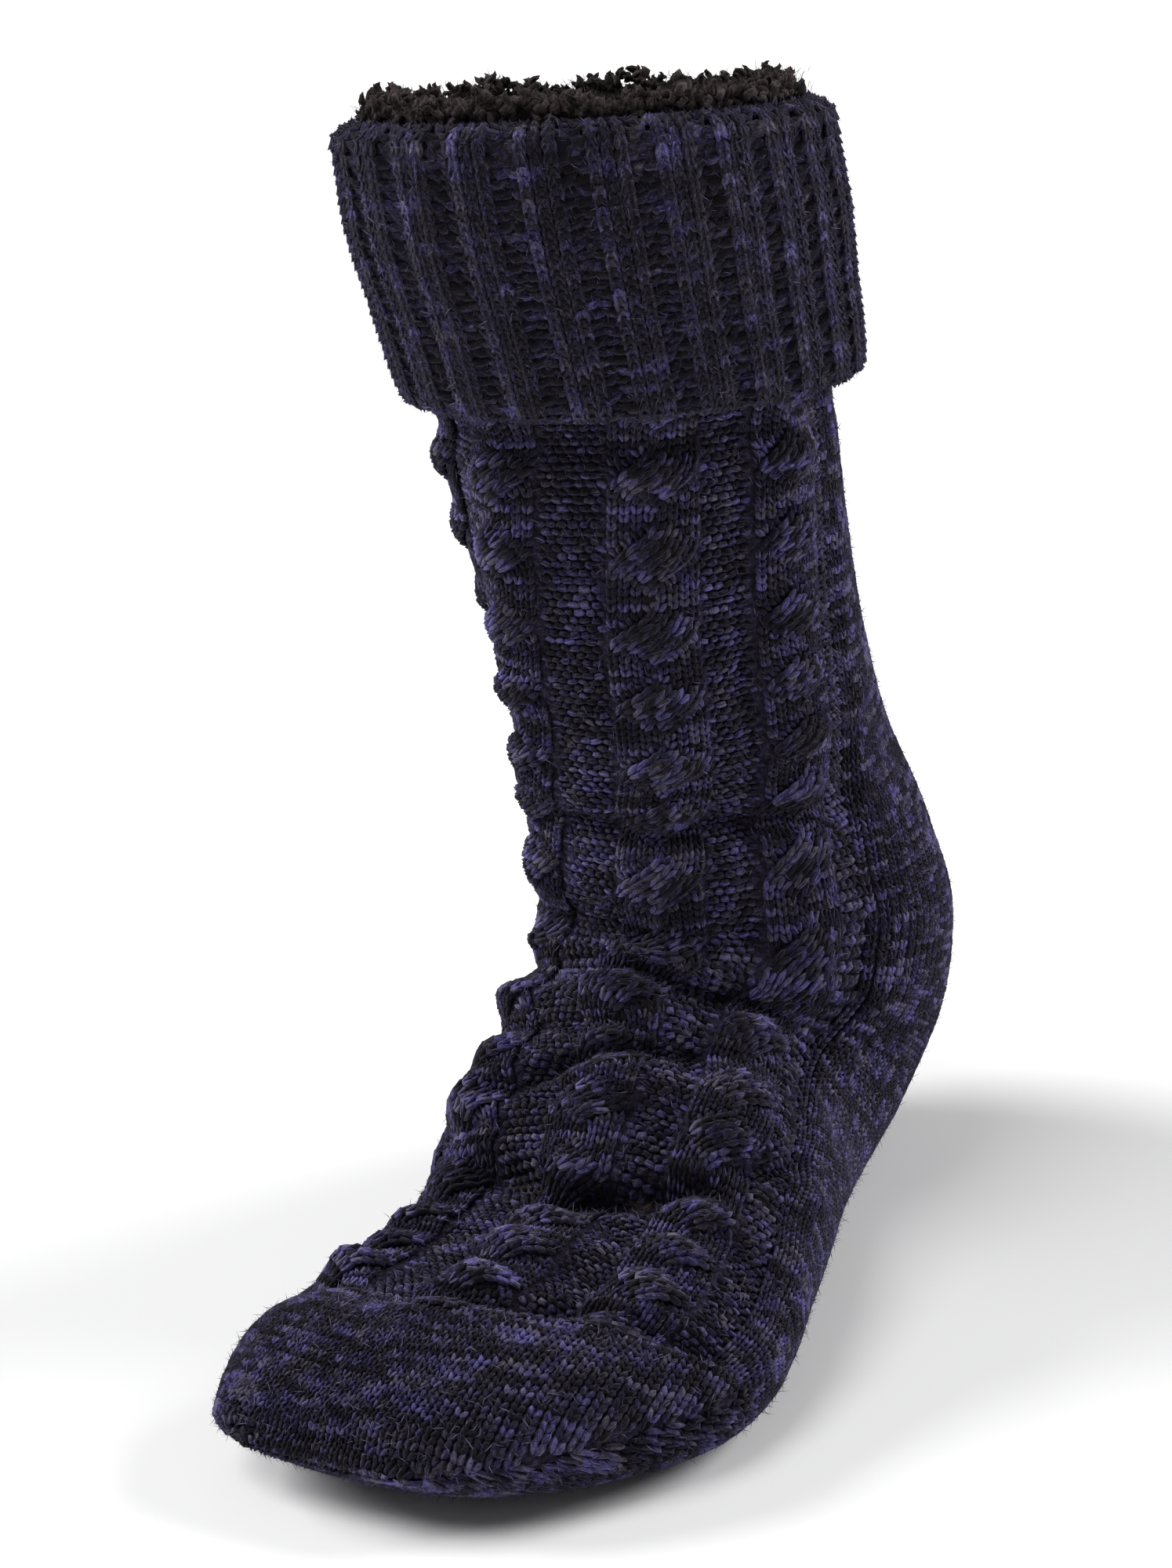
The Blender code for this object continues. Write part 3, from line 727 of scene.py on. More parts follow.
def set_on_points_tree():
    """Sets one form on every point, turned to its lie, and joins all of them to a mesh."""
    tree = bpy.data.node_groups.new("forms set on points", "GeometryNodeTree")
    for label, kind in (
        ("Points", "NodeSocketGeometry"),
        ("Form", "NodeSocketObject"),
        ("Fullness", "NodeSocketFloat"),
        ("Tilt", "NodeSocketFloat"),
        ("Finish", "NodeSocketMaterial"),
    ):
        tree.interface.new_socket(label, in_out="INPUT", socket_type=kind)
    tree.interface.new_socket("Joined", in_out="OUTPUT", socket_type="NodeSocketGeometry")
    given = tree.nodes.new("NodeGroupInput").outputs
    read = {}
    for label in ("along", "out", "size"):
        named = {"Name": label}
        node = add_node(tree, "GeometryNodeInputNamedAttribute", named, data_type="FLOAT_VECTOR")
        read[label] = node.outputs["Attribute"]
    lie = add_node(
        tree,
        "FunctionNodeAxesToRotation",
        {"Primary Axis": read["out"], "Secondary Axis": read["along"]},
        primary_axis="Z",
        secondary_axis="Y",
    )
    other_way = add_node(tree, "ShaderNodeMath", {0: given["Tilt"], 1: -1.0}, operation="MULTIPLY")
    low = add_node(tree, "ShaderNodeCombineXYZ", {axis: other_way.outputs[0] for axis in "XYZ"})
    high = add_node(tree, "ShaderNodeCombineXYZ", {axis: given["Tilt"] for axis in "XYZ"})
    lean = add_node(
        tree,
        "FunctionNodeRandomValue",
        {"Min": low.outputs[0], "Max": high.outputs[0], "Seed": 4},
        data_type="FLOAT_VECTOR",
    )
    lean = add_node(tree, "FunctionNodeEulerToRotation", {"Euler": lean.outputs[0]})
    turned = add_node(
        tree,
        "FunctionNodeRotateRotation",
        {"Rotation": lie.outputs[0], "Rotate By": lean.outputs[0]},
        rotation_space="LOCAL",
    )
    scale = add_node(
        tree,
        "ShaderNodeVectorMath",
        {0: read["size"], "Scale": given["Fullness"]},
        operation="SCALE",
    )
    form = add_node(tree, "GeometryNodeObjectInfo", {"Object": given["Form"]})
    placed = add_node(
        tree,
        "GeometryNodeInstanceOnPoints",
        {
            "Points": given["Points"],
            "Instance": form.outputs["Geometry"],
            "Rotation": turned.outputs[0],
            "Scale": scale.outputs[0],
        },
    ).outputs[0]
    for label in read:
        used = {"Geometry": placed, "Name": label}
        placed = add_node(tree, "GeometryNodeRemoveAttribute", used).outputs[0]
    joined = add_node(tree, "GeometryNodeRealizeInstances", {"Geometry": placed})
    dressed = {"Geometry": joined.outputs[0], "Material": given["Finish"]}
    finished = add_node(tree, "GeometryNodeSetMaterial", dressed)
    tree.links.new(finished.outputs[0], tree.nodes.new("NodeGroupOutput").inputs[0])
    return tree


SET_ON_POINTS = set_on_points_tree()


def set_forms(name, points, form, finish, fullness=1.0, tilt=0.04):
    """A finished piece: the form set on every point, as one plain mesh."""
    bearer = bpy.data.objects.new(name + "_points", points)
    bpy.context.scene.collection.objects.link(bearer)
    setter = bearer.modifiers.new("Set forms", "NODES")
    setter.node_group = SET_ON_POINTS
    values = {"Form": form, "Fullness": fullness, "Tilt": tilt, "Finish": finish}
    for item in SET_ON_POINTS.interface.items_tree:
        if item.in_out == "INPUT" and item.name in values:
            setter[item.identifier] = values[item.name]
    graph = bpy.context.evaluated_depsgraph_get()
    mesh = bpy.data.meshes.new_from_object(bearer.evaluated_get(graph), depsgraph=graph)
    mesh.name = name
    bpy.data.objects.remove(bearer, do_unlink=True)
    mesh.shade_smooth()
    return keep_piece(name, mesh)


def keep_piece(name, mesh):
    """A piece that stands with the sock and takes its finish from a slot."""
    piece = bpy.data.objects.new(name, mesh)
    bpy.context.scene.collection.objects.link(piece)
    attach(piece, "root")
    return piece


def grid_chart(courses, wales):
    """Every pair of a course and a wale, as two flat lists."""
    course, wale = np.meshgrid(np.asarray(courses, float), np.asarray(wales, float), indexing="ij")
    return course.ravel(), wale.ravel()


def new_finish(name, values):
    """An empty material, its tree and its main shader, set to what is the same all over."""
    finish = bpy.data.materials.new(name)
    finish.use_nodes = True
    shader = finish.node_tree.nodes["Principled BSDF"]
    for label, value in values.items():
        shader.inputs[label].default_value = value
    return finish, finish.node_tree, shader


def blend(tree, parts, start=0.0):
    """The weighted sum of several numbers, on top of a start."""
    total = start
    for source, weight in parts:
        terms = {0: source, 1: weight, 2: total}
        total = add_node(tree, "ShaderNodeMath", terms, operation="MULTIPLY_ADD").outputs[0]
    return total


# Marled knitting wool: woollen-spun yarn of two plies, one dyed indigo and one black-brown,
# knitted thick, steamed and not brushed. It gives the eye a matt, soft surface with no highlight,
# a faint pale bloom where it turns away, streaks along each leg of a stitch, and indigo that comes
# and goes in spots.
# Streaks are 2.2 mm long and 0.65 mm wide, on a leg 3.3 mm long and a yarn 5.85 mm round. Flecks of
# 1.22 mm are loose ends of the other ply, the plies change places every 5.9 mm, and dye is uneven
# over 11.8 mm. A fibre is 0.03 mm thick, too fine to show, so fibres are drawn at 0.33 mm. In this
# and the other finishes, a pattern's scale says how many of its spots lie along a metre.
def marled_wool():
    bloom = {"Sheen Weight": 0.35, "Sheen Roughness": 0.4, "Sheen Tint": colour("#8d88a6")}
    matt = {"Roughness": 0.95, "Specular IOR Level": 0.12}
    finish, tree, shader = new_finish("marled_indigo_wool", {**matt, **bloom})
    # Each stitch's dye value also carries painted shade in the creases and over the cuff, and a
    # painted highlight on each rib's left wale.
    dye = add_node(tree, "ShaderNodeAttribute", attribute_name="dye").outputs["Fac"]
    chart = add_node(tree, "ShaderNodeUVMap", uv_map="UVMap").outputs["UV"]
    parts = add_node(tree, "ShaderNodeSeparateXYZ", {0: chart}).outputs
    shift = blend(tree, [(dye, 97.0)])
    lengthways = blend(tree, [(parts["X"], 3.3 / 2.2)], shift)
    round_yarn = blend(tree, [(parts["Y"], 5.85 / 0.65)])
    drawn = add_node(tree, "ShaderNodeCombineXYZ", {"X": lengthways, "Y": round_yarn, "Z": shift})
    place = add_node(tree, "ShaderNodeTexCoord").outputs["Object"]
    patterns = [
        {"Vector": drawn.outputs[0], "Scale": 1.0, "Detail": 2.0, "Roughness": 0.6},
        {"Vector": place, "Scale": 820.0, "Detail": 2.0, "Roughness": 0.6},
        {"Vector": place, "Scale": 85.0, "Detail": 1.0, "Roughness": 0.5},
        {"Vector": place, "Scale": 3000.0, "Detail": 2.0, "Roughness": 0.6},
        {"Vector": place, "Scale": 170.0, "Detail": 4.0, "Roughness": 0.8},
    ]
    streaks, flecks, patches, fibres, plies = (
        add_node(tree, "ShaderNodeTexNoise", pattern).outputs["Fac"] for pattern in patterns
    )
    weights = [(dye, 0.26), (flecks, 0.42), (streaks, 0.56), (patches, 0.24), (fibres, 0.28)]
    tone = {"Fac": blend(tree, weights, -0.38)}
    browns = [(0.36, "#151312"), (0.47, "#242022"), (0.57, "#3e3a45"), (0.73, "#706a7a")]
    indigos = [(0.36, "#13111a"), (0.47, "#201d2d"), (0.57, "#3c3765"), (0.73, "#6d66a6")]
    brown = add_node(tree, "ShaderNodeValToRGB", tone, browns).outputs["Color"]
    indigo = add_node(tree, "ShaderNodeValToRGB", tone, indigos).outputs["Color"]
    limits = {"Value": plies, "From Min": 0.42, "From Max": 0.58}
    ply = add_node(tree, "ShaderNodeMapRange", limits).outputs["Result"]
    twisted = add_node(tree, "ShaderNodeMix", {0: ply, 6: brown, 7: indigo}, data_type="RGBA")
    tree.links.new(twisted.outputs[2], shader.inputs["Base Color"])
    nap = blend(tree, [(streaks, 0.65), (fibres, 0.35)])
    relief = {"Height": nap, "Strength": 1.0, "Distance": 0.0013}
    swell = add_node(tree, "ShaderNodeBump", relief)
    tree.links.new(swell.outputs["Normal"], shader.inputs["Normal"])
    return finish


# The same knitting wool on the inside of the fabric, where floats of yarn cross. Between the
# stitches the eye gets only a dark, flat nap in spots of 1.43 mm, about half a yarn wide.
def ground_wool():
    matt = {"Roughness": 1.0, "Specular IOR Level": 0.1}
    finish, tree, shader = new_finish("dark_ground_wool", matt)
    place = add_node(tree, "ShaderNodeTexCoord").outputs["Object"]
    pattern = {"Vector": place, "Scale": 700.0, "Detail": 4.0, "Roughness": 0.7}
    nap = add_node(tree, "ShaderNodeTexNoise", pattern).outputs["Fac"]
    steps = [(0.36, "#1a181e"), (0.50, "#2a2631"), (0.64, "#3e3955")]
    shade = add_node(tree, "ShaderNodeValToRGB", {"Fac": nap}, steps)
    tree.links.new(shade.outputs["Color"], shader.inputs["Base Color"])
    relief = {"Height": nap, "Strength": 1.0, "Distance": 0.0010}
    swell = add_node(tree, "ShaderNodeBump", relief)
    tree.links.new(swell.outputs["Normal"], shader.inputs["Normal"])
    return finish


# Single wool fibres that wear has worked loose from the yarn. Each is one colour, from near black
# to a pale grey violet, with the slight gloss of a scaled fibre. A real one is 0.03 mm thick, too
# fine to show, so it is drawn 0.13 mm thick.
def stray_wool():
    gloss = {"Roughness": 0.8, "Specular IOR Level": 0.2}
    finish, tree, shader = new_finish("stray_wool_fibre", gloss)
    dye = add_node(tree, "ShaderNodeAttribute", attribute_name="dye").outputs["Fac"]
    steps = [(0.0, "#25222c"), (0.6, "#4d4867"), (1.0, "#7f7a98")]
    shade = add_node(tree, "ShaderNodeValToRGB", {"Fac": dye}, steps)
    tree.links.new(shade.outputs["Color"], shader.inputs["Base Color"])
    return finish


# Polyester sherpa fleece: pile knitted long, curled by heat and sheared uneven, dyed dark brown.
# It gives the eye matt curls, darker in their depths and paler at their tips, with a weak bloom.
# Curls stand in clumps of 4.2 mm. A filament is 0.02 mm thick, too fine to show, so filaments are
# drawn at 0.59 mm.
def brown_pile():
    matt = {"Roughness": 1.0, "Specular IOR Level": 0.1}
    bloom = {"Sheen Weight": 0.15, "Sheen Tint": colour("#8a7f7c")}
    finish, tree, shader = new_finish("brown_curly_pile", {**matt, **bloom})
    place = add_node(tree, "ShaderNodeTexCoord").outputs["Object"]
    patterns = [
        {"Vector": place, "Scale": 240.0, "Detail": 3.0, "Roughness": 0.6},
        {"Vector": place, "Scale": 1700.0, "Detail": 3.0, "Roughness": 0.8},
    ]
    clumps, filaments = (
        add_node(tree, "ShaderNodeTexNoise", pattern).outputs["Fac"] for pattern in patterns
    )
    tone = blend(tree, [(clumps, 0.55), (filaments, 0.45)])
    steps = [(0.36, "#191516"), (0.50, "#383031"), (0.63, "#61585a")]
    shade = add_node(tree, "ShaderNodeValToRGB", {"Fac": tone}, steps)
    tree.links.new(shade.outputs["Color"], shader.inputs["Base Color"])
    relief = {"Height": tone, "Strength": 1.0, "Distance": 0.0016}
    swell = add_node(tree, "ShaderNodeBump", relief)
    tree.links.new(swell.outputs["Normal"], shader.inputs["Normal"])
    return finish


def in_metres(rows):
    """Rows of millimetres as rows of metres."""
    return [tuple(v * 1e-3 for v in row) for row in rows]


def stitch_forms():
    """The plain stitch, the purl bump, the pile tuft and the stray hair, drawn in millimetres."""
    leg = [(0.12, 1.50, -0.90), (0.55, 0.65, 0.05), (1.00, -0.55, 0.05), (1.40, -1.50, -0.90)]
    legs = [in_metres([(x * side, y, z) for x, y, z in leg]) for side in (-1, 1)]
    plain = yarn_form("plain_stitch", legs, 3, in_metres([(1.05, 0.80), (1.05, 0.80)]))
    bar = [(-1.95, 0.65, -0.9), (-0.85, -0.10, 0.15), (0.85, -0.10, 0.15), (1.95, 0.65, -0.9)]
    purl = yarn_form("purl_bump", [in_metres(bar)], 4, in_metres([(1.00, 0.85), (1.00, 0.85)]))
    curl = [(0.9 * math.cos(1.1 * k), 0.9 * math.sin(1.1 * k), k - 1.4) for k in range(6)]
    fat = [(1.1, 1.0), (1.4, 1.2), (1.25, 1.1), (0.8, 0.7)]
    tuft = yarn_form("pile_tuft", [in_metres(curl)], 4, in_metres(fat))
    stray = [(0.0, 0.0, -0.6), (0.2, 0.0, 1.0), (0.7, 0.2, 2.6)]
    hair = yarn_form("stray_hair", [in_metres(stray)], 3, in_metres([(0.065, 0.065)]))
    return plain, purl, tuft, hair


def dress_cables(plain, finish):
    """The four rope cables, each of two strands of plain stitches that cross and cross back."""
    cables = [(start, side) for start in CABLE_STARTS for side in (-1, 1)]
    for number, (start, side) in enumerate(cables, 1):
        centre = side * (start + CABLE_WALES / 2)
        for label, over in (("over", True), ("under", False)):
            course, offset = grid_chart(PANEL_COURSES, STRAND_WALES)
            down = course_down(course)
            shown = down < toe_cap_edge(panel_turn(down, centre + offset))
            course, offset, down = course[shown], offset[shown], down[shown]
            # The two strands start 7 wales apart along the yarn, so their dye differs
            dye = yarn_dye(course, centre + offset + (7 if over else 0), CABLE_DYE)
            # Stitches down in the creases are painted darker: painted shade.
            dye -= painted_crease_shade(down, panel_turn(down, centre + offset))
            spot = rope_spot(centre, over)
            points = stitch_points("strand", spot, course, offset, dye, spread=1.1)
            set_forms(f"cable_{number}_{label}", points, plain, finish, tilt=0.08)


def dress_purl(purl, finish):
    """The sunk purl columns between and beside the cables."""
    side, gap = PANEL_WALES - PURL_SIDE, CABLE_STARTS[-1] - PURL_BETWEEN
    columns = []
    for low, high in (
        (-PANEL_WALES, -side),
        (-CABLE_STARTS[-1], -gap),
        (-PURL_MIDDLE, PURL_MIDDLE),
        (gap, CABLE_STARTS[-1]),
        (side, PANEL_WALES),
    ):
        columns += [w + 0.5 for w in range(low, high)]
    course, wale = grid_chart(PANEL_COURSES, columns)
    wale = wale + 0.5 * (np.mod(course, 2) - 0.5)
    down = course_down(course)
    shown = down < toe_cap_edge(panel_turn(down, wale))
    course, wale, down = course[shown], wale[shown], down[shown]
    # Stitches down in the creases are painted darker: painted shade.
    dye = yarn_dye(course, wale, PURL_DYE) - painted_crease_shade(down, panel_turn(down, wale))
    points = stitch_points("purl_columns", purl_spot, course, wale, dye, uneven=0.13)
    set_forms("purl_columns", points, purl, finish, tilt=0.32)


def dress_back(plain, finish):
    """The plain knitting behind the leg, round the heel and under the foot."""
    first = math.ceil(np.interp(PANEL_LINES[0].down, GRID_DOWNS, BACK_RUN))
    last = int(np.interp(PATH_LENGTH, GRID_DOWNS, BACK_RUN))
    course, wale = grid_chart(np.arange(first, last), np.arange(BACK_WALES) + 0.5)
    down = np.interp(course, BACK_RUN, GRID_DOWNS)
    turn = np.mod(back_turn(down, wale) + 0.5, 1.0) - 0.5
    step = np.linalg.norm(back_spot(course + 0.5, wale) - back_spot(course - 0.5, wale), axis=-1)
    # Where courses crowd at the heel's turn, one in two or in four is set, as long as all of them
    crowd = np.where(step < 0.0008, 4, np.where(step < 0.0014, 2, 1))
    shown = (down < toe_cap_edge(turn) + 0.001) & (np.mod(course, crowd) == 0)
    course, wale, crowd, down = course[shown], wale[shown], crowd[shown], down[shown]
    dye = yarn_dye(course, wale, BACK_DYE)
    leg = down < LEG_END
    for name, part in (("leg_back", leg), ("heel_and_sole", ~leg)):
        chart = course[part], wale[part], dye[part]
        points = stitch_points(name, back_spot, *chart, spread=crowd[part])
        set_forms(name, points, plain, finish, tilt=0.06)


def dress_toe(plain, finish):
    """The plain toe cap: rows that narrow along a line at each side of the foot."""
    for name, sole in (("toe_top", False), ("toe_under", True)):
        row, wale = grid_chart(np.arange(0, TOE_ROWS + 1), np.arange(-25, 25) + 0.5)
        down, turn = toe_place(row, wale, sole)
        middle = 0.5 if sole else -0.01
        shown = np.abs(turn - middle) < 0.25
        row, wale = row[shown], wale[shown]
        dye = yarn_dye(row + (40 if sole else 0), wale, TOE_DYE)
        points = stitch_points(name, toe_spot(sole), row, wale, dye, spread=1.04)
        set_forms(name, points, plain, finish, tilt=0.06)


def dress_cuff(plain, purl, finish):
    """The cuff's ribs: three plain wales standing up, then two purl ones sunk between them."""
    courses = np.arange(0, int(CUFF_RUN[-1] / CUFF_COURSE) + 1)
    wales = np.arange(CUFF_WALES)
    ribbed = np.mod(wales, CUFF_RIB_WALES) < CUFF_KNIT_WALES
    course, wale = grid_chart(courses, wales[ribbed] + 0.5)
    # The left wale of each rib is painted lighter: a painted highlight on the rib's lit edge.
    highlit_left_wale = np.mod(wale, CUFF_RIB_WALES) < 1
    # The cuff's stitches are shifted darker by their field's dye offset: painted shade.
    dye = yarn_dye(course + 300, wale, RIB_DYE_AND_SHADE) + np.where(highlit_left_wale, RIB_EDGE_HIGHLIGHT, 0.0)
    points = stitch_points("cuff_ribs", cuff_spot, course, wale, dye, spread=1.05)
    set_forms("cuff_ribs", points, plain, finish, tilt=0.08)
    course, wale = grid_chart(courses, wales[~ribbed] + 0.5)
    wale = wale + 0.4 * (np.mod(course, 2) - 0.5)
    # The gutters are painted darker still: painted shade down between the ribs.
    dye = yarn_dye(course + 300, wale, GUTTER_DYE_AND_SHADE)
    points = stitch_points(
        "cuff_gutters", cuff_spot, course, wale, dye, spread=1.15, uneven=0.16
    )
    set_forms("cuff_gutters", points, purl, finish, fullness=1.15, tilt=0.15)


def closed_loft(name, rings, finishes, inner_rings=0, ring_shaped=False):
    """A mesh through rings of points, closed over its ends or from its last ring to its first.

    The first rings can take the second finish.
    """
    count, columns = rings.shape[:2]
    faces = []
    for i in range(count if ring_shaped else count - 1):
        j = (i + 1) % count
        for k in range(columns):
            n = (k + 1) % columns
            faces.append((i * columns + k, j * columns + k, j * columns + n, i * columns + n))
    if not ring_shaped:
        faces.append(tuple(range(columns)))
        faces.append(tuple(reversed(range((count - 1) * columns, count * columns))))
    mesh = bpy.data.meshes.new(name)
    mesh.from_pydata([tuple(p) for p in rings.reshape(-1, 3)], [], faces)
    for finish in finishes:
        mesh.materials.append(finish)
    for number, polygon in enumerate(mesh.polygons):
        if number < inner_rings * columns or (inner_rings and number == (count - 1) * columns):
            polygon.material_index = 1
    mesh.shade_smooth()
    return mesh


COURSE_TABLE = np.arange(-16.0, 180.0, 0.5)


def panel_swell(down, turn):
    """The mound under each cable, highest where a strand crosses, and the sunk purl columns."""
    wale = panel_wale(down, turn)
    course = np.interp(down, course_down(COURSE_TABLE), COURSE_TABLE)
    swing, crossing = rope_swing(course, 0.0, True)
    lift = np.where(np.abs(wale) < PANEL_WALES, -PURL_SINK, 0.0)
    for start in CABLE_STARTS:
        for side in (-1, 1):
            off = wale - side * (start + CABLE_WALES / 2)
            mound = np.clip(1 - (off / ROPE_HALF) ** 2, 0.0, 1.0)
            strand = (off + STRAND_SHIFT * swing) / SWELL_HALF
            over = np.sqrt(np.clip(1 - strand**2, 0.0, 1.0)) * crossing
            rope = ROPE_LIFT + ROPE_ROUND * mound + ROPE_OVER * over
            lift = lift + np.where(mound > 0, rope, 0.0)
    return lift * toe_fade(down, turn)


def make_ground(finish, pile):
    """The dark ground under the stitches: one closed shell with the pile side inside."""
    turns = np.linspace(-0.5, 0.5, SHELL_COLUMNS)[:-1]
    downs = np.linspace(0.0, PATH_LENGTH + TIP_REACH * 0.6, SHELL_ROWS)
    down, turn = np.meshgrid(downs, turns, indexing="ij")
    outer = knit_point(down, turn, panel_swell(down, turn) - GROUND_SINK)
    outer[..., 2] = np.maximum(outer[..., 2], GROUND_FLOOR)
    down, turn = np.meshgrid(np.linspace(PATH_LENGTH, 0.0, PILE_ROWS), turns, indexing="ij")
    inner = knit_point(down, turn, -KNIT_WALL)
    inner[..., 2] = np.maximum(inner[..., 2], PILE_FLOOR)
    rings = np.concatenate([inner, outer])
    mesh = closed_loft("sock_ground", rings, [finish, pile], inner_rings=PILE_ROWS)
    ground = keep_piece("sock_ground", mesh)
    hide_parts("upper")


def make_cuff_ground(finish):
    """The cuff's dark ground, a closed band under its stitches."""
    count = CUFF_WALES * 2
    turns = (np.arange(count) + 0.5) / count - 0.5
    ribs = rib_wave(turns * CUFF_WALES)
    rings = []
    # Up the outside and over the fold, then back down between the cuff and the leg
    for run in np.linspace(0.0, CUFF_RUN[-1], 40):
        down, off, up = cuff_way(run)
        rim = down < 0.004
        lift = off - CUFF_GROUND_SINK + (0.3 if rim else 1.0) * RIB_RISE * ribs
        rings.append(level_point(np.full(count, down), turns, lift, up - (0.0012 if rim else 0.0)))
    for share in np.linspace(0.06, 0.95, 8):
        off = CLEARANCE + CUFF_STAND_OFF * math.sin(share * math.pi / 2) * 0.6
        rings.append(level_point(np.full(count, share * CUFF_DROP), turns, off, 0.0))
    mesh = closed_loft("cuff_ground", np.array(rings)[::-1], [finish], ring_shaped=True)
    ground = keep_piece("cuff_ground", mesh)
    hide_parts("cuff")


def even_sizes(count, least, most):
    """One random size a form, the same along all three of its axes."""
    return rng.uniform(least, most, (count, 1)) * np.ones((1, 3))


def lining_band(turns, face, pile):
    """The lumpy band that the pile grows on: up inside the collar, over its rim and down."""
    around = turns * 2 * math.pi
    lumps = 0.0010 * np.sin(around * 23) + 0.0008 * np.sin(around * 41 + 1)
    profile = [(0.045, 0.0, 0.0), (0.02, 0.0, 0.0), (0.0, 0.0, 0.002), (0.0, 0.0003, 0.0075)]
    profile += [(0.0, 0.0028, 0.0092), (0.0, 0.0058, 0.0060), (0.008, 0.0062, 0.0)]
    profile += [(0.025, 0.0055, 0.0), (0.045, 0.0040, 0.0)]
    rings = []
    for down, deep, up in profile:
        ragged = lumps if deep > 0.001 else 0.0
        rings.append(level_point(np.full(len(turns), down), turns, face - deep - ragged, up))
    return closed_loft("pile_band", np.array(rings), [pile], ring_shaped=True)


def dress_pile(tuft, hair, pile):
    """The deep pile round the collar: a band grown all over with curly tufts and fibres."""
    turns = (np.arange(BAND_COLUMNS) + 0.5) / BAND_COLUMNS - 0.5
    face = -KNIT_WALL - 0.0008
    band = keep_piece("pile_band", lining_band(turns, face, pile))
    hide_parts("lining")
    for name, form, count, least, most in (
        ("collar_tufts", tuft, 3000, 0.45, 0.95),
        ("collar_fibres", hair, 9000, 0.7, 1.6),
    ):
        turn = rng.random(count) - 0.5
        rise = rng.random(count) ** 1.1
        top = np.clip(1 - rise / RIM_SHARE, 0.0, 1.0)
        down = np.clip(rise - RIM_SHARE, 0.0, 1.0) * PILE_REACH
        around = turn * 2 * math.pi
        tall = 0.5 + 0.5 * np.sin(around * 9 + 2.0) * np.sin(around * 17)
        off = face - 0.0050 + 0.0055 * rng.random(count) + 0.0065 * top * rng.random(count)
        height = 0.0052 + (0.0038 + 0.0042 * tall) * rng.random(count)
        up = np.where(rise < RIM_SHARE, height, 0.0)
        place = level_point(down, turn, off, up)
        inward = unit(level_point(down, turn, off - 0.001, 0.0) - level_point(down, turn, off, 0.0))
        upward = np.array([0.0, 0.0, 1.0]) * (0.2 + 0.8 * top)[:, None]
        out = inward * (0.9 - 1.2 * top)[:, None] + upward
        out = unit(out + rng.normal(0, 0.45, (count, 3)))
        along = rng.normal(0, 1, (count, 3))
        size = even_sizes(count, least, most)
        points = point_mesh(name, place, along, out, size, rng.random(count))
        set_forms(name, points, form, pile, tilt=0.3)


def dress_hairs(hair, finish):
    """Stray fibres that stand off the wool all over: most lie close to it."""
    top = 0.068
    down = top + rng.random(BODY_HAIRS) * (PATH_LENGTH - top)
    turn = rng.random(BODY_HAIRS) - 0.5
    lift = panel_swell(down, turn) + 0.0004
    place = knit_point(down, turn, lift)
    out = unit(knit_point(down, turn, lift + 0.001) - place)
    scatter_hairs("body_fibres", place, out, hair, finish)
    course = rng.random(CUFF_HAIRS) * CUFF_RUN[-1] * 0.97 / CUFF_COURSE
    wale = (rng.random(CUFF_HAIRS) - 0.5) * CUFF_WALES
    place = cuff_spot(course, wale)
    along = cuff_spot(course + 0.2, wale) - place
    out = unit(np.cross(along, cuff_spot(course, wale + 0.2) - place))
    middle_of_leg = [0.0, 0.0, 0.27]
    out *= np.sign((out * (place - middle_of_leg)).sum(axis=-1, keepdims=True))
    scatter_hairs("cuff_fibres", place, out, hair, finish)


def scatter_hairs(name, place, out, hair, finish):
    """Single fibres leaning every way off the surface, none of them near the floor."""
    place, out = place[place[:, 2] > HAIR_FLOOR], out[place[:, 2] > HAIR_FLOOR]
    count = len(place)
    lean = rng.normal(0, 1, (count, 3))
    lean = unit(lean - (lean * out).sum(axis=-1, keepdims=True) * out)
    steep = np.clip(rng.normal(0.35, 0.3, (count, 1)), 0.05, 1.2)
    size = even_sizes(count, 0.6, 1.5)
    points = point_mesh(name, place, out, unit(lean + out * steep), size, rng.random(count))
    set_forms(name, points, hair, finish, tilt=0.1)


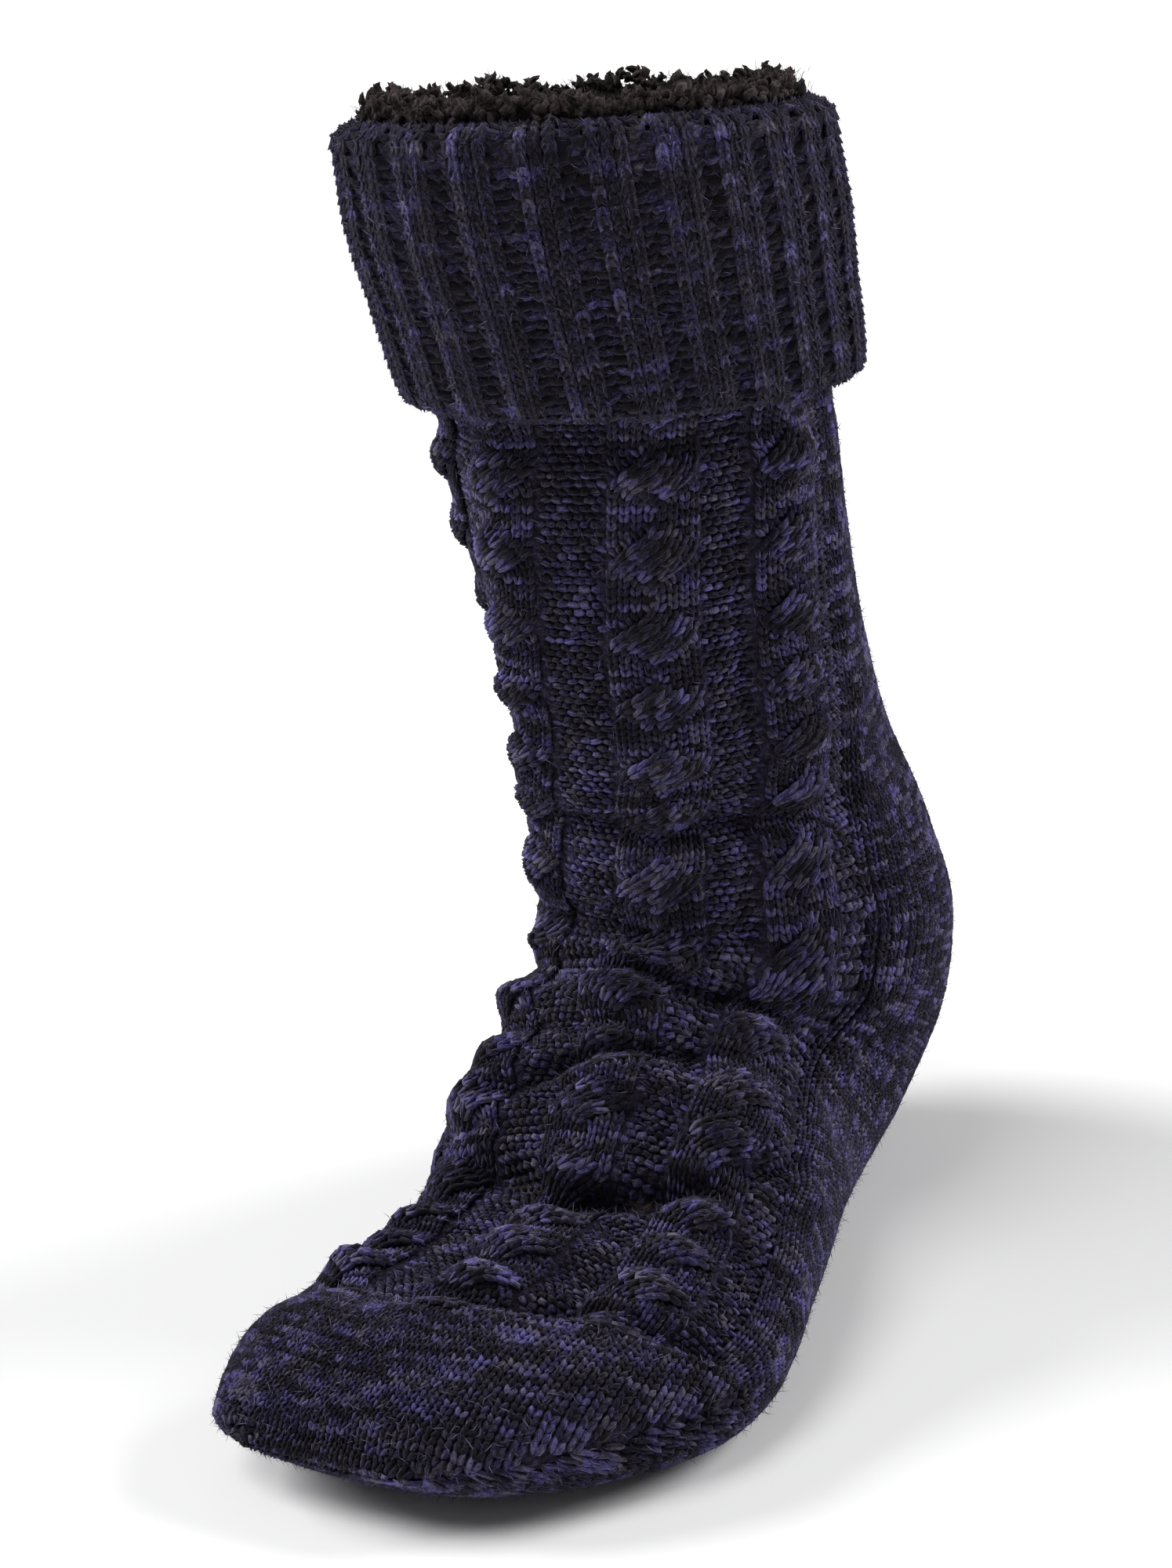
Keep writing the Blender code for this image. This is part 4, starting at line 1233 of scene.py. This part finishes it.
def set_camera():
    """The camera at the photograph's angle to the sock. Its focal length is in pixels."""
    azimuth, height, roll = (math.radians(v) for v in (29.44, 18.52, -4.32))
    distance, focal, image_width = 0.7546, 3504.4, 1495
    level = Vector((math.sin(azimuth), -math.cos(azimuth), 0.0))
    back = level * math.cos(height) + Vector((0.0, 0.0, math.sin(height)))
    right = Vector((math.cos(azimuth), math.sin(azimuth), 0.0))
    up = back.cross(right)
    across = right * math.cos(roll) + up * math.sin(roll)
    rise = up * math.cos(roll) - right * math.sin(roll)
    target = Vector((0.0, HEEL_SEAT - 0.1, 0.13913)) - right * 0.01813
    lens = bpy.data.cameras.new("camera")
    lens.sensor_fit = "HORIZONTAL"
    lens.sensor_width = 36.0
    lens.lens = focal / image_width * lens.sensor_width
    lens.clip_start = 0.01
    camera = bpy.data.objects.new("camera", lens)
    facing = Matrix((across, rise, back)).transposed().to_4x4()
    camera.matrix_world = Matrix.Translation(target + back * distance) @ facing
    bpy.context.scene.collection.objects.link(camera)
    bpy.context.scene.camera = camera


def set_studio():
    """A wide pale floor, a dim even room, a broad soft light on either side and one above."""
    reach = 40.0
    mesh = bpy.data.meshes.new("studio_floor")
    corners = [(-reach, -reach, 0), (reach, -reach, 0), (reach, reach, 0), (-reach, reach, 0)]
    mesh.from_pydata(corners, [], [(0, 1, 2, 3)])
    floor = bpy.data.objects.new("studio_floor", mesh)
    bpy.context.scene.collection.objects.link(floor)
    paper = {"Base Color": colour("#fafafa"), "Roughness": 0.9}
    mesh.materials.append(new_finish("pale_paper_floor", paper)[0])
    world = bpy.data.worlds.new("pale_room")
    world.use_nodes = True
    room = world.node_tree.nodes["Background"].inputs
    room["Color"].default_value = (1.0, 1.0, 1.0, 1.0)
    room["Strength"].default_value = 0.16
    bpy.context.scene.world = world
    for name, towards, strength in (
        ("left_soft_light", (-1.0, -0.12, 0.60), 3.0),
        ("right_soft_light", (0.80, 0.70, 0.60), 2.5),
        ("top_soft_light", (-0.30, -0.50, 1.30), 1.1),
    ):
        lamp = bpy.data.lights.new(name, "SUN")
        lamp.energy = strength
        lamp.angle = math.radians(30)
        stand = bpy.data.objects.new(name, lamp)
        stand.rotation_euler = Vector(towards).to_track_quat("Z", "Y").to_euler()
        bpy.context.scene.collection.objects.link(stand)
    bpy.context.scene.view_settings.view_transform = "Standard"


def main():
    """The camera, the studio, the finishes, then every piece in the order of its random draws."""
    set_camera()
    set_studio()
    wool = marled_wool()
    ground = ground_wool()
    stray = stray_wool()
    pile = brown_pile()
    forms = stitch_forms()
    plain, purl, tuft, hair = forms
    make_ground(ground, pile)
    make_cuff_ground(ground)
    dress_cables(plain, wool)
    dress_purl(purl, wool)
    dress_back(plain, wool)
    dress_toe(plain, wool)
    dress_cuff(plain, purl, wool)
    dress_pile(tuft, hair, pile)
    dress_hairs(hair, stray)
    for form in forms:
        bpy.data.objects.remove(form, do_unlink=True)


main()
